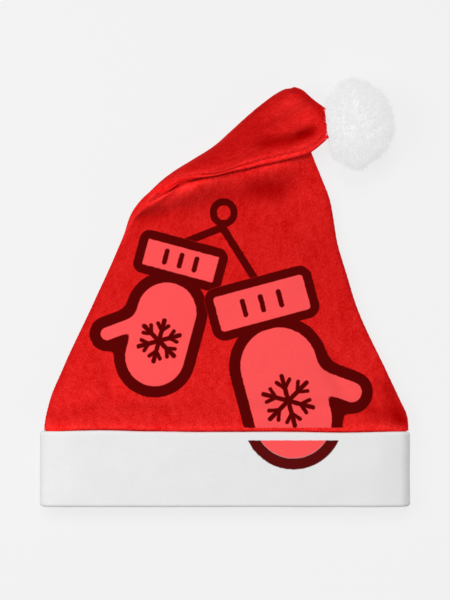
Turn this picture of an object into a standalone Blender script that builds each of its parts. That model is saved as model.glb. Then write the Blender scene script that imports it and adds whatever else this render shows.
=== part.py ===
"""Santa hat lying flat on its back, with the point folded over to the right.

Metres, +Z up. The hat lies in the XY plane with its opening towards -Y. The origin is on the table,
under the middle of the plush band. Each section of the hat is a closed loop, first set out on the
unfolded hat and then carried round the fold.
"""

import math
import random

import bpy
import numpy as np
from mathutils import Vector

# Band
BAND_WIDTH = 0.290  # across the lying band
BAND_HEIGHT = 0.0625  # from the opening to the crown
BAND_THICKNESS = 0.026  # both layers and the hollow between them
BAND_WALL = 0.005
BAND_EDGE = 0.008  # rounding of the band's two side edges
BAND_ROLL = 0.030  # how far in from a side edge the band reaches its thickness

# Crown
CROWN_WIDTH = 0.287
CROWN_LENGTH = 0.300  # from the band to the blunt end, before folding
CROWN_RISE = 0.0245  # greatest height of the lying crown
CLOTH = 0.002
SEAM_EDGE = 0.003  # rounding of the crown's side edges
UNDER_ROLL = 0.012  # how far in from a side edge the back panel meets the table
HEM_DEPTH = 0.012  # hem tucked inside the band
SEAM_GAP = 0.0003
FIT = 0.0003  # clearance between the hem and the band
LIP = 0.0026  # rounded lip of each panel beside a seam
LIP_DROP = 0.0011

# Fold
FOLD_LEFT_UP = 0.646  # where the fold meets the left edge, as a share of the crown's length
FOLD_RIGHT_UP = 0.916
FOLD_RADIUS = 0.0095  # of the layer that the seams lie in
FOLD_HALF = 0.007  # half the hat's thickness at the fold
FOLD_TURN = math.radians(185)
FOLD_BOW = 0.0034  # how far the folded edge is drawn in from a straight line
FOLD_BOW_AT = 0.38  # where, and over what stretch, as shares of the fold's length
FOLD_BOW_REACH = 0.22
SEAM_SHIFT = 0.008  # how far the left seam is rolled up on to the folded point
GATHER_LENGTH = 0.010  # the blunt end drawn in to its neck

# Pompom
POMPOM_WIDTH = 0.059
POMPOM_LENGTH = 0.075
POMPOM_HEIGHT = 0.058
POMPOM_SETTLE = 0.002  # pile pressed flat on the table
POMPOM_SINK = 0.005  # the blunt end's depth in the pile
POMPOM_DROOP = 0.0027  # how far its middle hangs towards the band, from the neck's
POMPOM_CLEAR = 0.0004
CORE_SHARE = 0.80  # the solid core, as a share of the pompom
LOCK_RADIUS = 0.0066
LOCK_ROOT = 0.6  # where a lock starts, as a share of the core
LOCK_LENGTHS = (0.95, 1.03)  # shortest and longest reach, as shares of the pompom
LOCK_BEND = 0.3  # sideways bend of a lock, as a share of its radius
LOCK_COUNT = 84
LOCK_SIDES = 5
LOCK_SEED = 5

# Crown outline: out as a share of half the crown's width, up as a share of its length.
LEFT_EDGE = (
    # out, up
    (0.991, 0.013),
    (0.983, 0.038),
    (0.962, 0.080),
    (0.891, 0.164),
    (0.727, 0.331),
    (0.568, 0.498),
    (0.514, 0.561),
    (0.382, 0.645),
    (0.214, 0.767),
    (0.169, 0.802),
    (0.124, 0.852),
    (0.055, 0.935),
    (-0.034, 1.008),
    (-0.122, 1.037),
)
RIGHT_EDGE = (
    # out, up
    (1.006, 0.013),
    (1.000, 0.038),
    (0.962, 0.080),
    (0.880, 0.164),
    (0.721, 0.331),
    (0.667, 0.415),
    (0.617, 0.498),
    (0.596, 0.561),
    (0.579, 0.603),
    (0.530, 0.665),
    (0.475, 0.731),
    (0.374, 0.912),
    (0.341, 0.943),
    (0.312, 0.971),
    (0.284, 1.008),
)

# Crown from the band to the fold. Rise is a share of the way from the fold's height to the crown's
# greatest, seam a share of the way from the fold's middle to the crown's, lift a share of the
# band's wall, and swell, on each side, a share of the section's half width.
BODY_SECTIONS = (
    # station, rise, seam, lift, swell_left, swell_right
    (0.00, 0.967, 0.857, 0.30, 0.24, 0.24),
    (0.05, 1.000, 0.627, 0.06, 0.30, 0.30),
    (0.12, 0.967, 0.347, 0.00, 0.50, 0.46),
    (0.30, 0.757, -0.073, 0.00, 0.85, 0.80),
    (0.50, 0.472, -0.213, 0.00, 0.90, 0.85),
    (0.75, 0.185, -0.120, 0.00, 0.62, 0.60),
    (1.00, 0.000, 0.000, 0.00, 0.34, 0.24),
)
# Fold and point: thickness of each side of the seams as a share of half the fold's thickness.
POINT_SECTIONS = (
    # station, inside, outside, swell_left, swell_right
    (0.00, 0.91, 1.00, 0.34, 0.24),
    (0.45, 0.90, 1.00, 0.26, 0.30),
    (1.00, 0.84, 0.94, 0.55, 0.60),
)
# Blunt end drawn in: station along the gather, and size as a share of the blunt end's own.
GATHER_SECTIONS = (
    # station, width, thickness
    (0.14, 0.97, 0.96),
    (0.30, 0.82, 0.84),
    (0.45, 0.58, 0.70),
    (1.00, 0.52, 0.64),
)
# Dents in the outer face: place as shares of half the crown's width and of its length, size as
# shares of the crown's length, depth as a share of the crown's rise.
DENTS = (
    # panel, out, up, length, width, angle, depth
    ("front", 0.77, 0.086, 0.130, 0.036, -33, 0.13),
    ("front", -0.66, 0.125, 0.080, 0.030, 101, 0.07),
    ("front", -0.69, 0.048, 0.170, 0.018, 0, 0.06),
    ("front", 0.30, 0.060, 0.280, 0.022, 3, 0.05),
    ("front", -0.42, 0.570, 0.100, 0.024, 10, 0.09),
    ("front", 0.20, 0.400, 0.260, 0.090, -28, 0.08),
    ("front", -0.25, 0.330, 0.160, 0.060, 50, -0.05),
    ("back", 0.150, 0.905, 0.150, 0.030, 54, 0.13),
)

# A lock's thickness along its length, as shares of its length and of its radius.
LOCK_RINGS = (
    # along, size
    (0.0, 1.0),
    (0.62, 0.80),
    (0.90, 0.42),
)
# Band's columns from a side edge inwards, as shares of its roll.
BAND_EDGE_COLUMNS = (0.0, 0.12, 0.26, 0.42, 0.62, 0.85, 1.15)
BAND_MIDDLE_COLUMNS = 5
BAND_WALL_ROWS = (0.35, 0.65)  # rows between the band's two rolled rims, as shares of its height
BAND_RIM_POINTS = 6

LOOP_SAMPLES = 90  # points on each half of a section's loop
BODY_ROWS = 17
FOLD_ROWS = 10
POINT_ROWS = 8
EDGE_STEPS = (0.0, 0.0010, 0.0026, 0.0055, 0.010)  # panel columns beside a seam
EDGE_SHARES = (0.0, 0.03, 0.08, 0.16, 0.26)  # and their most, as shares of the panel's width
MIDDLE_COLUMNS = 9
DENT_CLEAR = 0.25  # dents fade out this near a seam, as a share of the panel's width
HEM_EASE = 0.4  # share of the way from the hem to the crown's first section, at the band's rim
SHIFT_EASE = 1.5  # how late in the fold the left seam rolls over
NECK_SAMPLES = 18  # points round the space kept free for the neck

BAND_TOP = BAND_HEIGHT / 2
HALF_CROWN = CROWN_WIDTH / 2
FOLD_START = -(FOLD_RADIUS + FOLD_HALF)  # the bend starts this far short of the folded edge
FOLD_HEIGHT = FOLD_HALF * (1 + POINT_SECTIONS[0][1])  # of the crown where the bend starts


def eased(at, table):
    """Rows of a table at the stations asked for, on smooth curves through its rows."""
    table = np.array(table, float)
    stations, values = table[:, 0], table[:, 1:]
    slopes = np.gradient(values, stations, axis=0)
    at = np.clip(np.atleast_1d(at), stations[0], stations[-1])
    k = np.clip(np.searchsorted(stations, at) - 1, 0, len(stations) - 2)
    span = (stations[k + 1] - stations[k])[:, None]
    t = (at - stations[k])[:, None] / span
    return (
        (2 * t**3 - 3 * t**2 + 1) * values[k]
        + (t**3 - 2 * t**2 + t) * span * slopes[k]
        + (3 * t**2 - 2 * t**3) * values[k + 1]
        + (t**3 - t**2) * span * slopes[k + 1]
    )


def lengths_along(line):
    steps = np.linalg.norm(np.diff(line, axis=0), axis=1)
    return np.concatenate([[0.0], np.cumsum(steps)])


def points_along(line, at):
    """Points of a line at the given lengths from its start."""
    along = lengths_along(line)
    return np.stack([np.interp(at, along, line[:, c]) for c in range(line.shape[1])], axis=1)


def crown_edge(table, side):
    """One edge of the unfolded crown, as a fine line of points."""
    corners = [(side * out * HALF_CROWN, BAND_TOP + up * CROWN_LENGTH) for out, up in table]
    corners = np.array(corners)
    stations = lengths_along(corners)
    fine = np.linspace(0, stations[-1], 400)
    return eased(fine, np.column_stack([stations, corners]))


def point_at_height(line, up):
    height = BAND_TOP + up * CROWN_LENGTH
    return np.array([np.interp(height, line[:, 1], line[:, 0]), height])


LEFT_LINE = crown_edge(LEFT_EDGE, -1)
RIGHT_LINE = crown_edge(RIGHT_EDGE, 1)
FOLD_LEFT = point_at_height(LEFT_LINE, FOLD_LEFT_UP)
FOLD_RIGHT = point_at_height(RIGHT_LINE, FOLD_RIGHT_UP)
FOLD_LENGTH = float(np.linalg.norm(FOLD_RIGHT - FOLD_LEFT))
FOLD_ALONG = (FOLD_RIGHT - FOLD_LEFT) / FOLD_LENGTH
FOLD_ACROSS = np.array([-FOLD_ALONG[1], FOLD_ALONG[0]])  # towards the point of the unfolded hat


def past_fold(points):
    """How far each point of the unfolded hat lies past the folded edge."""
    from_left = points[..., :2] - FOLD_LEFT
    share = (from_left @ FOLD_ALONG) / FOLD_LENGTH
    bow = FOLD_BOW * np.exp(-(((share - FOLD_BOW_AT) / FOLD_BOW_REACH) ** 2))
    return from_left @ FOLD_ACROSS + bow


def folded(points):
    """Carries points of the unfolded hat round the fold, and on to where the point lies."""
    points = np.array(points, float)
    past = past_fold(points)
    run = np.maximum(past - FOLD_START, 0.0)
    turn = np.minimum(run / FOLD_RADIUS, FOLD_TURN)
    rest = run - turn * FOLD_RADIUS
    arm = FOLD_RADIUS + FOLD_HALF - points[..., 2]
    reach = FOLD_START + arm * np.sin(turn) + rest * np.cos(turn)
    height = FOLD_HALF + FOLD_RADIUS - arm * np.cos(turn) + rest * np.sin(turn)
    bent = run > 0
    moved = points.copy()
    moved[..., :2] += np.where(bent, reach - past, 0.0)[..., None] * FOLD_ACROSS
    moved[..., 2] = np.where(bent, height, points[..., 2])
    return moved


def swell(distance, reach):
    return 1 - (1 - np.minimum(distance / reach, 1.0)) ** 2


def round_end(distance, radius):
    return np.sqrt(np.maximum(1 - (1 - np.minimum(distance / radius, 1.0)) ** 2, 0.0))


def half_profile(width, edge, depth, roll_left, roll_right):
    """Distance across, and depth from the seams' level, over one half of a section."""
    across = width * (1 - np.cos(np.linspace(0, math.pi, LOOP_SAMPLES))) / 2
    from_right = width - across
    rounding = edge * round_end(np.minimum(across, from_right), edge)
    rise = (depth - edge) * swell(across, roll_left) * swell(from_right, roll_right)
    return across, rounding + rise


def section_loop(left, right, seam, over, under, edge, rolls_over, roll_under):
    """Closed loop of a section between two edge points: over the top, then back underneath."""
    width = float(np.linalg.norm(right - left))
    edge = min(edge, over, under, width / 2)
    direction = (right - left) / width
    across, top = half_profile(width, edge, over, *rolls_over)
    _, bottom = half_profile(width, edge, under, roll_under, roll_under)
    flat = np.concatenate([across, across[::-1][1:-1]])
    height = np.concatenate([seam + top, (seam - bottom)[::-1][1:-1]])
    place = left + flat[:, None] * direction
    return np.column_stack([place, height])


def loop_frame(loop):
    """The loop closed on itself, its lengths, and its outward normals in the section's plane."""
    closed = np.vstack([loop, loop[:1]])
    tangent = np.roll(loop, -1, axis=0) - np.roll(loop, 1, axis=0)
    half = LOOP_SAMPLES - 1
    direction = loop[half, :2] - loop[0, :2]
    direction = direction / np.linalg.norm(direction)
    run = tangent[:, :2] @ direction
    normal = np.column_stack([-tangent[:, 2:] * direction, run])
    normal /= np.linalg.norm(normal, axis=1)[:, None]
    lengths = lengths_along(closed)
    return closed, lengths, np.vstack([normal, normal[:1]])


def offset_loop(loop, inward):
    _, _, normal = loop_frame(loop)
    return loop - inward * normal[:-1]


def sampled(loop, at):
    """Points and outward normals of a loop at lengths from its left end, counted over the top."""
    closed, lengths, normals = loop_frame(loop)
    at = np.mod(at, lengths[-1])
    point = np.stack([np.interp(at, lengths, closed[:, c]) for c in range(3)], axis=1)
    normal = np.stack([np.interp(at, lengths, normals[:, c]) for c in range(3)], axis=1)
    return point, normal / np.linalg.norm(normal, axis=1)[:, None]


def band_loop(height):
    """The band's outer loop at one distance along the hat."""
    half = BAND_THICKNESS / 2
    left = np.array([-BAND_WIDTH / 2, height])
    right = np.array([BAND_WIDTH / 2, height])
    rolls = (BAND_ROLL, BAND_ROLL)
    return section_loop(left, right, half, half, half, BAND_EDGE, rolls, BAND_ROLL)


def hem_loop(height):
    return offset_loop(band_loop(height), BAND_WALL + FIT)


def stretch(line, start, end, rows):
    """Evenly spaced points on part of an edge, between two lengths along it."""
    return points_along(line, np.linspace(start, end, rows))


def length_where_past(line, past):
    """Length along an edge at which it lies that far past the folded edge."""
    return float(np.interp(past, past_fold(line), lengths_along(line)))


def crown_loops():
    """Every section of the unfolded crown, from its hem to its neck, with the left seam's shift."""
    bend_end = FOLD_START + FOLD_TURN * FOLD_RADIUS
    lines = (LEFT_LINE, RIGHT_LINE)
    starts = [length_where_past(line, FOLD_START) for line in lines]
    ends = [length_where_past(line, bend_end) for line in lines]
    totals = [lengths_along(line)[-1] for line in lines]
    found = []

    body = [stretch(line, 0, start, BODY_ROWS) for line, start in zip(lines, starts)]
    stations = np.linspace(0, 1, BODY_ROWS)
    for left, right, row in zip(*body, eased(stations, BODY_SECTIONS)):
        rise, seam, lift, swell_left, swell_right = row
        half_width = np.linalg.norm(right - left) / 2
        level = FOLD_HALF + seam * (CROWN_RISE / 2 - FOLD_HALF)
        rolls = (swell_left * half_width, swell_right * half_width)
        under = level - max(lift, 0.0) * BAND_WALL
        over = FOLD_HEIGHT + rise * (CROWN_RISE - FOLD_HEIGHT) - level
        found.append((left, right, level, over, under, rolls, 0.0))

    fold = [stretch(line, start, end, FOLD_ROWS + 1) for line, start, end in zip(lines, starts, ends)]
    point = [stretch(line, end, total, POINT_ROWS) for line, end, total in zip(lines, ends, totals)]
    past_bend = [np.vstack([bend[1:], flap[1:]]) for bend, flap in zip(fold, point)]
    stations = np.concatenate([np.zeros(FOLD_ROWS), np.linspace(0, 1, POINT_ROWS)[1:]])
    shifts = np.linspace(0, 1, FOLD_ROWS + 1)[1:] ** SHIFT_EASE
    shifts = np.concatenate([shifts, np.ones(POINT_ROWS - 1)]) * SEAM_SHIFT
    for left, right, row, shift in zip(*past_bend, eased(stations, POINT_SECTIONS), shifts):
        inside, outside, swell_left, swell_right = row
        half_width = np.linalg.norm(right - left) / 2
        rolls = (swell_left * half_width, swell_right * half_width)
        found.append((left, right, FOLD_HALF, inside * FOLD_HALF, outside * FOLD_HALF, rolls, shift))

    loops = [hem_loop(BAND_TOP - HEM_DEPTH), hem_loop(BAND_TOP - CLOTH)]
    moves = [0.0, 0.0]
    for left, right, level, over, under, rolls, shift in found:
        loops.append(section_loop(left, right, level, over, under, SEAM_EDGE, rolls, UNDER_ROLL))
        moves.append(shift)
    at_rim = (1 - HEM_EASE) * hem_loop(BAND_TOP) + HEM_EASE * loops[2]
    loops.insert(2, at_rim)
    moves.insert(2, 0.0)
    gathered, gathered_moves = gather_loops(*found[-1])
    return loops + gathered, moves + gathered_moves


def gather_loops(left, right, level, over, under, rolls, shift):
    """The blunt end drawn in to a neck that the pompom is sewn on."""
    middle = (left + right) / 2
    half = (right - left) / 2
    onward = np.array([-half[1], half[0]]) / np.linalg.norm(half)
    loops = []
    for station, width, thickness in GATHER_SECTIONS:
        centre = middle + onward * station * GATHER_LENGTH
        ends = (centre - half * width, centre + half * width)
        sizes = (over * thickness, under * thickness)
        narrow = tuple(roll * width for roll in rolls)
        loops.append(section_loop(*ends, level, *sizes, SEAM_EDGE, narrow, UNDER_ROLL * width))
    return loops, [shift * width for _, width, _ in GATHER_SECTIONS]


def dented(points, panel, away):
    """Pushes the panel's dents in, by the same amount on both faces of the cloth."""
    moved = points.copy()
    inward = -1.0 if panel == "front" else 1.0
    for name, out, up, length, width, angle, depth in DENTS:
        if name != panel:
            continue
        centre = np.array([out * HALF_CROWN, BAND_TOP + up * CROWN_LENGTH])
        turn = math.radians(angle)
        from_centre = points[:, :2] - centre
        along = from_centre @ np.array([math.cos(turn), math.sin(turn)])
        aside = from_centre @ np.array([-math.sin(turn), math.cos(turn)])
        spread = (along / (length * CROWN_LENGTH)) ** 2 + (aside / (width * CROWN_LENGTH)) ** 2
        moved[:, 2] += inward * depth * CROWN_RISE * away * np.exp(-spread)
    return moved


def panel_columns(length):
    """Distances across a panel, close together beside its two seams."""
    beside = np.minimum(np.array(EDGE_STEPS), np.array(EDGE_SHARES) * length)
    middle = np.linspace(beside[-1], length - beside[-1], MIDDLE_COLUMNS + 2)[1:-1]
    return np.concatenate([beside, middle, (length - beside)[::-1]])


def panel_faces(panel, loops, shifts):
    """Outer and inner faces of one panel of the crown, as grids of folded points."""
    outer_rows, inner_rows = [], []
    for loop, shift in zip(loops, shifts):
        _, lengths, _ = loop_frame(loop)
        right_seam, left_seam = lengths[LOOP_SAMPLES - 1], lengths[-1] - shift
        start, end = (-shift, right_seam) if panel == "front" else (right_seam, left_seam)
        start, end = start + SEAM_GAP / 2, end - SEAM_GAP / 2
        columns = panel_columns(end - start)
        from_seam = np.minimum(columns, columns[-1] - columns)
        point, normal = sampled(loop, start + columns)
        lip = LIP_DROP * np.maximum(1 - from_seam / LIP, 0.0) ** 2
        away = swell(from_seam, DENT_CLEAR * (end - start))
        outer = dented(point - lip[:, None] * normal, panel, away)
        inner = dented(point - CLOTH * normal, panel, away)
        outer_rows.append(folded(outer))
        inner_rows.append(folded(inner))
    return np.array(outer_rows), np.array(inner_rows)


def shell_mesh(outer, inner):
    """Vertices and faces of a sheet of cloth between two grids of points."""
    rows, columns, _ = outer.shape
    vertices = np.vstack([outer.reshape(-1, 3), inner.reshape(-1, 3)])
    outside = np.arange(rows * columns).reshape(rows, columns)
    inside = outside + rows * columns
    faces = []
    for r in range(rows - 1):
        for c in range(columns - 1):
            corners = ((r, c), (r, c + 1), (r + 1, c + 1), (r + 1, c))
            faces.append([outside[corner] for corner in corners])
            faces.append([inside[corner] for corner in reversed(corners)])
    rim = [*outside[0], *outside[1:, -1], *outside[-1, -2::-1], *outside[-2:0:-1, 0]]
    rim_inside = [*inside[0], *inside[1:, -1], *inside[-1, -2::-1], *inside[-2:0:-1, 0]]
    for k in range(len(rim)):
        n = (k + 1) % len(rim)
        faces.append((rim[n], rim[k], rim_inside[k], rim_inside[n]))
    return vertices, faces


def tube_mesh(rings, capped):
    """Vertices and faces of a surface through closed rings; a tube closed on itself if not capped."""
    count, sides = len(rings), len(rings[0])
    vertices = np.vstack(rings)
    faces = []
    for r in range(count - 1 if capped else count):
        n = (r + 1) % count
        for s in range(sides):
            t = (s + 1) % sides
            faces.append((r * sides + s, r * sides + t, n * sides + t, n * sides + s))
    if capped:
        faces.append(tuple(reversed(range(sides))))
        faces.append(tuple(range((count - 1) * sides, count * sides)))
    return vertices, faces


def finish(name, color, roughness):
    material = bpy.data.materials.new(name)
    material.use_nodes = True
    shader = material.node_tree.nodes["Principled BSDF"]
    shader.inputs["Base Color"].default_value = (*color, 1.0)
    shader.inputs["Roughness"].default_value = roughness
    shader.inputs["Metallic"].default_value = 0.0
    return material


def solid(name, vertices, faces, material):
    """Adds a closed mesh object, with its faces pointing out."""
    mesh = bpy.data.meshes.new(name)
    mesh.from_pydata([tuple(float(c) for c in v) for v in vertices], [], faces)
    mesh.validate()
    obj = bpy.data.objects.new(name, mesh)
    bpy.context.scene.collection.objects.link(obj)
    if signed_volume(mesh) < 0:
        mesh.flip_normals()
    mesh.shade_smooth()
    if material is not None:
        mesh.materials.append(material)
    return obj


def signed_volume(mesh):
    mesh.calc_loop_triangles()
    corners = [[mesh.vertices[v].co for v in t.vertices] for t in mesh.loop_triangles]
    return sum(a.dot(b.cross(c)) for a, b, c in corners) / 6


def crown_panels(red):
    loops, shifts = crown_loops()
    for panel in ("front", "back"):
        outer, inner = panel_faces(panel, loops, shifts)
        vertices, faces = shell_mesh(outer, inner)
        solid(f"crown_{panel}_panel", vertices, faces, red)


def band_profile():
    """Outline of the band's wall: distance along the hat and depth from the outer face."""
    radius = BAND_WALL / 2
    turns = np.linspace(0, math.pi, BAND_RIM_POINTS)
    lower = [(radius - radius * math.sin(t), radius - radius * math.cos(t)) for t in turns]
    upper = [(BAND_HEIGHT - along, BAND_WALL - depth) for along, depth in lower]
    inner = [(BAND_HEIGHT * share, BAND_WALL) for share in BAND_WALL_ROWS]
    outer = [(BAND_HEIGHT * share, 0.0) for share in BAND_WALL_ROWS[::-1]]
    return lower + inner + upper + outer


def band_positions(total):
    """Lengths round the band, close together where its side edges turn."""
    half = total / 2
    beside = np.array(BAND_EDGE_COLUMNS) * BAND_ROLL
    middle = np.linspace(beside[-1], half - beside[-1], BAND_MIDDLE_COLUMNS + 2)[1:-1]
    over = np.concatenate([beside, middle, (half - beside)[::-1]])
    return np.concatenate([over, over[1:-1] + half])


def plush_band(white):
    rings = []
    for along, depth in band_profile():
        loop = band_loop(along - BAND_TOP)
        _, lengths, _ = loop_frame(loop)
        point, normal = sampled(loop, band_positions(lengths[-1]))
        rings.append(point - depth * normal)
    solid("plush_band", *tube_mesh(rings, capped=False), white)


def lock_mesh(root, tip, bend):
    """A lock of pile: a pointed strip of round section, slightly bent."""
    axis = (tip - root).normalized()
    across = axis.orthogonal().normalized()
    other = axis.cross(across)
    rings = []
    for share, size in LOCK_RINGS:
        centre = root.lerp(tip, share) + bend * share**2
        radius = LOCK_RADIUS * size
        turns = [math.tau * k / LOCK_SIDES for k in range(LOCK_SIDES)]
        rings.append(
            [centre + (across * math.cos(t) + other * math.sin(t)) * radius for t in turns]
        )
    vertices, faces = tube_mesh([np.array(ring) for ring in rings], capped=True)
    faces.pop()
    last = len(vertices) - LOCK_SIDES
    vertices = np.vstack([vertices, tip + bend])
    for s in range(LOCK_SIDES):
        faces.append((last + s, last + (s + 1) % LOCK_SIDES, len(vertices) - 1))
    return vertices, faces


def pompom_place():
    """Centre of the pompom, beyond the folded blunt end."""
    left, right = LEFT_LINE[-1], RIGHT_LINE[-1]
    middle = (left + right) / 2
    onward = np.array([left[1] - right[1], right[0] - left[0]])
    onward = onward / np.linalg.norm(onward) * GATHER_LENGTH
    ends = folded(np.array([[*middle, FOLD_HALF], [*(middle + onward), FOLD_HALF]]))
    step = ends[1, :2] - ends[0, :2]
    reach = POMPOM_WIDTH / 2 - POMPOM_SINK
    centre = ends[0, :2] + step / np.linalg.norm(step) * reach - (0, POMPOM_DROOP)
    return Vector((*centre, POMPOM_HEIGHT / 2 - POMPOM_SETTLE))


def joined(obj, others, operation):
    """Applies Booleans of the helper objects, then removes them."""
    for other in others:
        modifier = obj.modifiers.new(other.name, "BOOLEAN")
        modifier.operation = operation
        modifier.object = other
        graph = bpy.context.evaluated_depsgraph_get()
        mesh = bpy.data.meshes.new_from_object(obj.evaluated_get(graph))
        obj.modifiers.clear()
        obj.data = mesh
        bpy.data.objects.remove(other)


def pompom(white):
    """Locks of pile fused to a core, pressed flat on the table, with a pit for the neck."""
    centre = pompom_place()
    half = Vector((POMPOM_WIDTH, POMPOM_LENGTH, POMPOM_HEIGHT)) / 2
    bpy.ops.mesh.primitive_ico_sphere_add(subdivisions=2, radius=1)
    core = bpy.context.object
    core.name = "pompom"
    for vertex in core.data.vertices:
        vertex.co = centre + vertex.co * half * CORE_SHARE
    draws = random.Random(LOCK_SEED)
    locks = []
    for k in range(LOCK_COUNT):
        upright = 1 - 2 * (k + 0.5) / LOCK_COUNT
        round_axis = k * math.pi * (3 - math.sqrt(5))
        level = math.sqrt(1 - upright**2)
        way = Vector((level * math.cos(round_axis), level * math.sin(round_axis), upright))
        length = draws.uniform(*LOCK_LENGTHS)
        bend = Vector([draws.uniform(-1, 1) for _ in range(3)]) * LOCK_RADIUS * LOCK_BEND
        root = centre + way * half * CORE_SHARE * LOCK_ROOT
        tip = centre + way * half * length
        locks.append(solid(f"lock_{k}", *lock_mesh(root, tip, bend), None))
    joined(core, locks, "UNION")
    joined(core, [table_cutter(centre), neck_cutter()], "DIFFERENCE")
    core.data.materials.clear()
    core.data.materials.append(white)
    core.data.shade_smooth()


def table_cutter(centre):
    """Everything below the table, under the pompom."""
    bpy.ops.mesh.primitive_cube_add(size=2 * max(POMPOM_LENGTH, POMPOM_WIDTH, POMPOM_HEIGHT))
    cutter = bpy.context.object
    cutter.name = "table_cutter"
    depth = cutter.dimensions.z / 2
    cutter.location = (centre.x, centre.y, -depth)
    return cutter


def neck_cutter():
    """The crown's blunt end and neck, a little larger, as the space kept free in the pompom."""
    loops, _ = crown_loops()
    loops = loops[-len(GATHER_SECTIONS) - 3 :]
    step = loops[-1] - loops[-2]
    beyond = loops[-1] + step / np.linalg.norm(step[0]) * POMPOM_CLEAR
    rings = []
    for loop in [*loops, beyond]:
        wider = offset_loop(loop, -POMPOM_CLEAR)
        rings.append(folded(wider[:: len(wider) // NECK_SAMPLES]))
    cutter = solid("neck_cutter", *tube_mesh(rings, capped=True), None)
    return cutter


def main():
    for obj in list(bpy.data.objects):
        bpy.data.objects.remove(obj)
    red = finish("red_fleece", (0.78, 0.012, 0.010), 0.9)
    white = finish("white_plush", (0.84, 0.84, 0.85), 0.95)
    pile = finish("white_pile", (0.86, 0.86, 0.87), 0.95)
    crown_panels(red)
    plush_band(white)
    pompom(pile)


main()
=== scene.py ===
"""Looks of the santa hat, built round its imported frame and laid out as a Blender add-on.

Metres, +Z up. Each cloth piece is set out on the unfolded hat, as in the part's source, and is then
carried round the fold. The hat lies on the floor at z = 0 and is seen from straight above.
"""

import math

import bpy
import numpy as np
from bpy.props import FloatProperty, FloatVectorProperty, IntProperty, PointerProperty
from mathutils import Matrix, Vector, noise


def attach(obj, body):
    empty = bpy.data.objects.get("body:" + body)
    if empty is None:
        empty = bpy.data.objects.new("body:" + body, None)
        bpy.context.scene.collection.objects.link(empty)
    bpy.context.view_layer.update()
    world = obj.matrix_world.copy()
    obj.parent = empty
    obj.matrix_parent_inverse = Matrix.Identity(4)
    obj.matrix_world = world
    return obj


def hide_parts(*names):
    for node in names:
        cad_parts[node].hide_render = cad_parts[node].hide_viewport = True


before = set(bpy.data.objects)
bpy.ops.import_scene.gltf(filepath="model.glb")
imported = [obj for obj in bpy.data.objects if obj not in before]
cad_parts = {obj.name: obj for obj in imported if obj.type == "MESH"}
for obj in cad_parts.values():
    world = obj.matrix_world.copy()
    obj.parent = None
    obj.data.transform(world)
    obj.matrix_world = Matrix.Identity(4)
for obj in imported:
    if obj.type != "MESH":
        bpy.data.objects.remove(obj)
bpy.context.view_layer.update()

bl_info = {
    "name": "Santa hat",
    "version": (1, 0, 0),
    "blender": (4, 5, 0),
    "location": "3D View > Sidebar > Santa hat",
    "description": "Builds a lying santa hat of fleece and plush with a folded point and a pompom",
    "category": "Object",
}

# Crown outline: out as a share of half the crown's width, up as a share of its length.
LEFT_EDGE = (
    # out, up
    (0.991, 0.013), (0.983, 0.038), (0.962, 0.080), (0.891, 0.164), (0.727, 0.331), (0.568, 0.498),
    (0.514, 0.561), (0.382, 0.645), (0.214, 0.767), (0.169, 0.802), (0.124, 0.852), (0.055, 0.935),
    (-0.034, 1.008), (-0.122, 1.037),
)
RIGHT_EDGE = (
    # out, up
    (1.006, 0.013), (1.000, 0.038), (0.962, 0.080), (0.880, 0.164), (0.721, 0.331), (0.667, 0.415),
    (0.617, 0.498), (0.596, 0.561), (0.579, 0.603), (0.530, 0.665), (0.475, 0.731), (0.374, 0.912),
    (0.341, 0.943), (0.312, 0.971), (0.284, 1.008),
)
# Crown from the band to the fold. Rise is a share of the way from the fold's height to the crown's
# greatest, seam a share of the way from the fold's middle to the crown's, lift a share of the
# band's wall, and swell, on each side, a share of the section's half width.
BODY_SECTIONS = (
    # station, rise, seam, lift, swell_left, swell_right
    (0.00, 0.967, 0.857, 0.30, 0.24, 0.24),
    (0.05, 1.000, 0.627, 0.06, 0.30, 0.30),
    (0.12, 0.967, 0.347, 0.00, 0.50, 0.46),
    (0.30, 0.757, -0.073, 0.00, 0.85, 0.80),
    (0.50, 0.472, -0.213, 0.00, 0.90, 0.85),
    (0.75, 0.185, -0.120, 0.00, 0.62, 0.60),
    (1.00, 0.000, 0.000, 0.00, 0.34, 0.24),
)
# Fold and point: thickness of each side of the seams as a share of half the fold's thickness.
POINT_SECTIONS = (
    # station, inside, outside, swell_left, swell_right
    (0.00, 0.91, 1.00, 0.34, 0.24),
    (0.45, 0.90, 1.00, 0.26, 0.30),
    (1.00, 0.84, 0.94, 0.55, 0.60),
)
# Blunt end drawn in: station along the gather, and size as a share of the blunt end's own.
GATHER_SECTIONS = (
    # station, width, thickness
    (0.00, 1.00, 1.00),
    (0.14, 0.97, 0.96),
    (0.30, 0.82, 0.84),
    (0.45, 0.58, 0.70),
    (1.00, 0.52, 0.64),
)
# Folds and dents of the outer face: place as shares of half the crown's width and of its length,
# size as shares of the crown's length, depth as a share of the crown's rise. Below nought is a rise.
DENTS = (
    # panel, out, up, length, width, angle, depth
    ("front", 0.77, 0.086, 0.130, 0.036, -33, 0.13),
    ("front", -0.66, 0.125, 0.080, 0.030, 101, 0.07),
    ("front", -0.69, 0.048, 0.170, 0.018, 0, 0.06),
    ("front", 0.30, 0.060, 0.280, 0.022, 3, 0.05),
    ("front", -0.42, 0.570, 0.100, 0.024, 10, 0.09),
    ("front", 0.20, 0.400, 0.260, 0.090, -28, 0.08),
    ("front", -0.25, 0.330, 0.160, 0.060, 50, -0.05),
    ("back", 0.150, 0.905, 0.150, 0.030, 54, 0.13),
)

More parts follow.
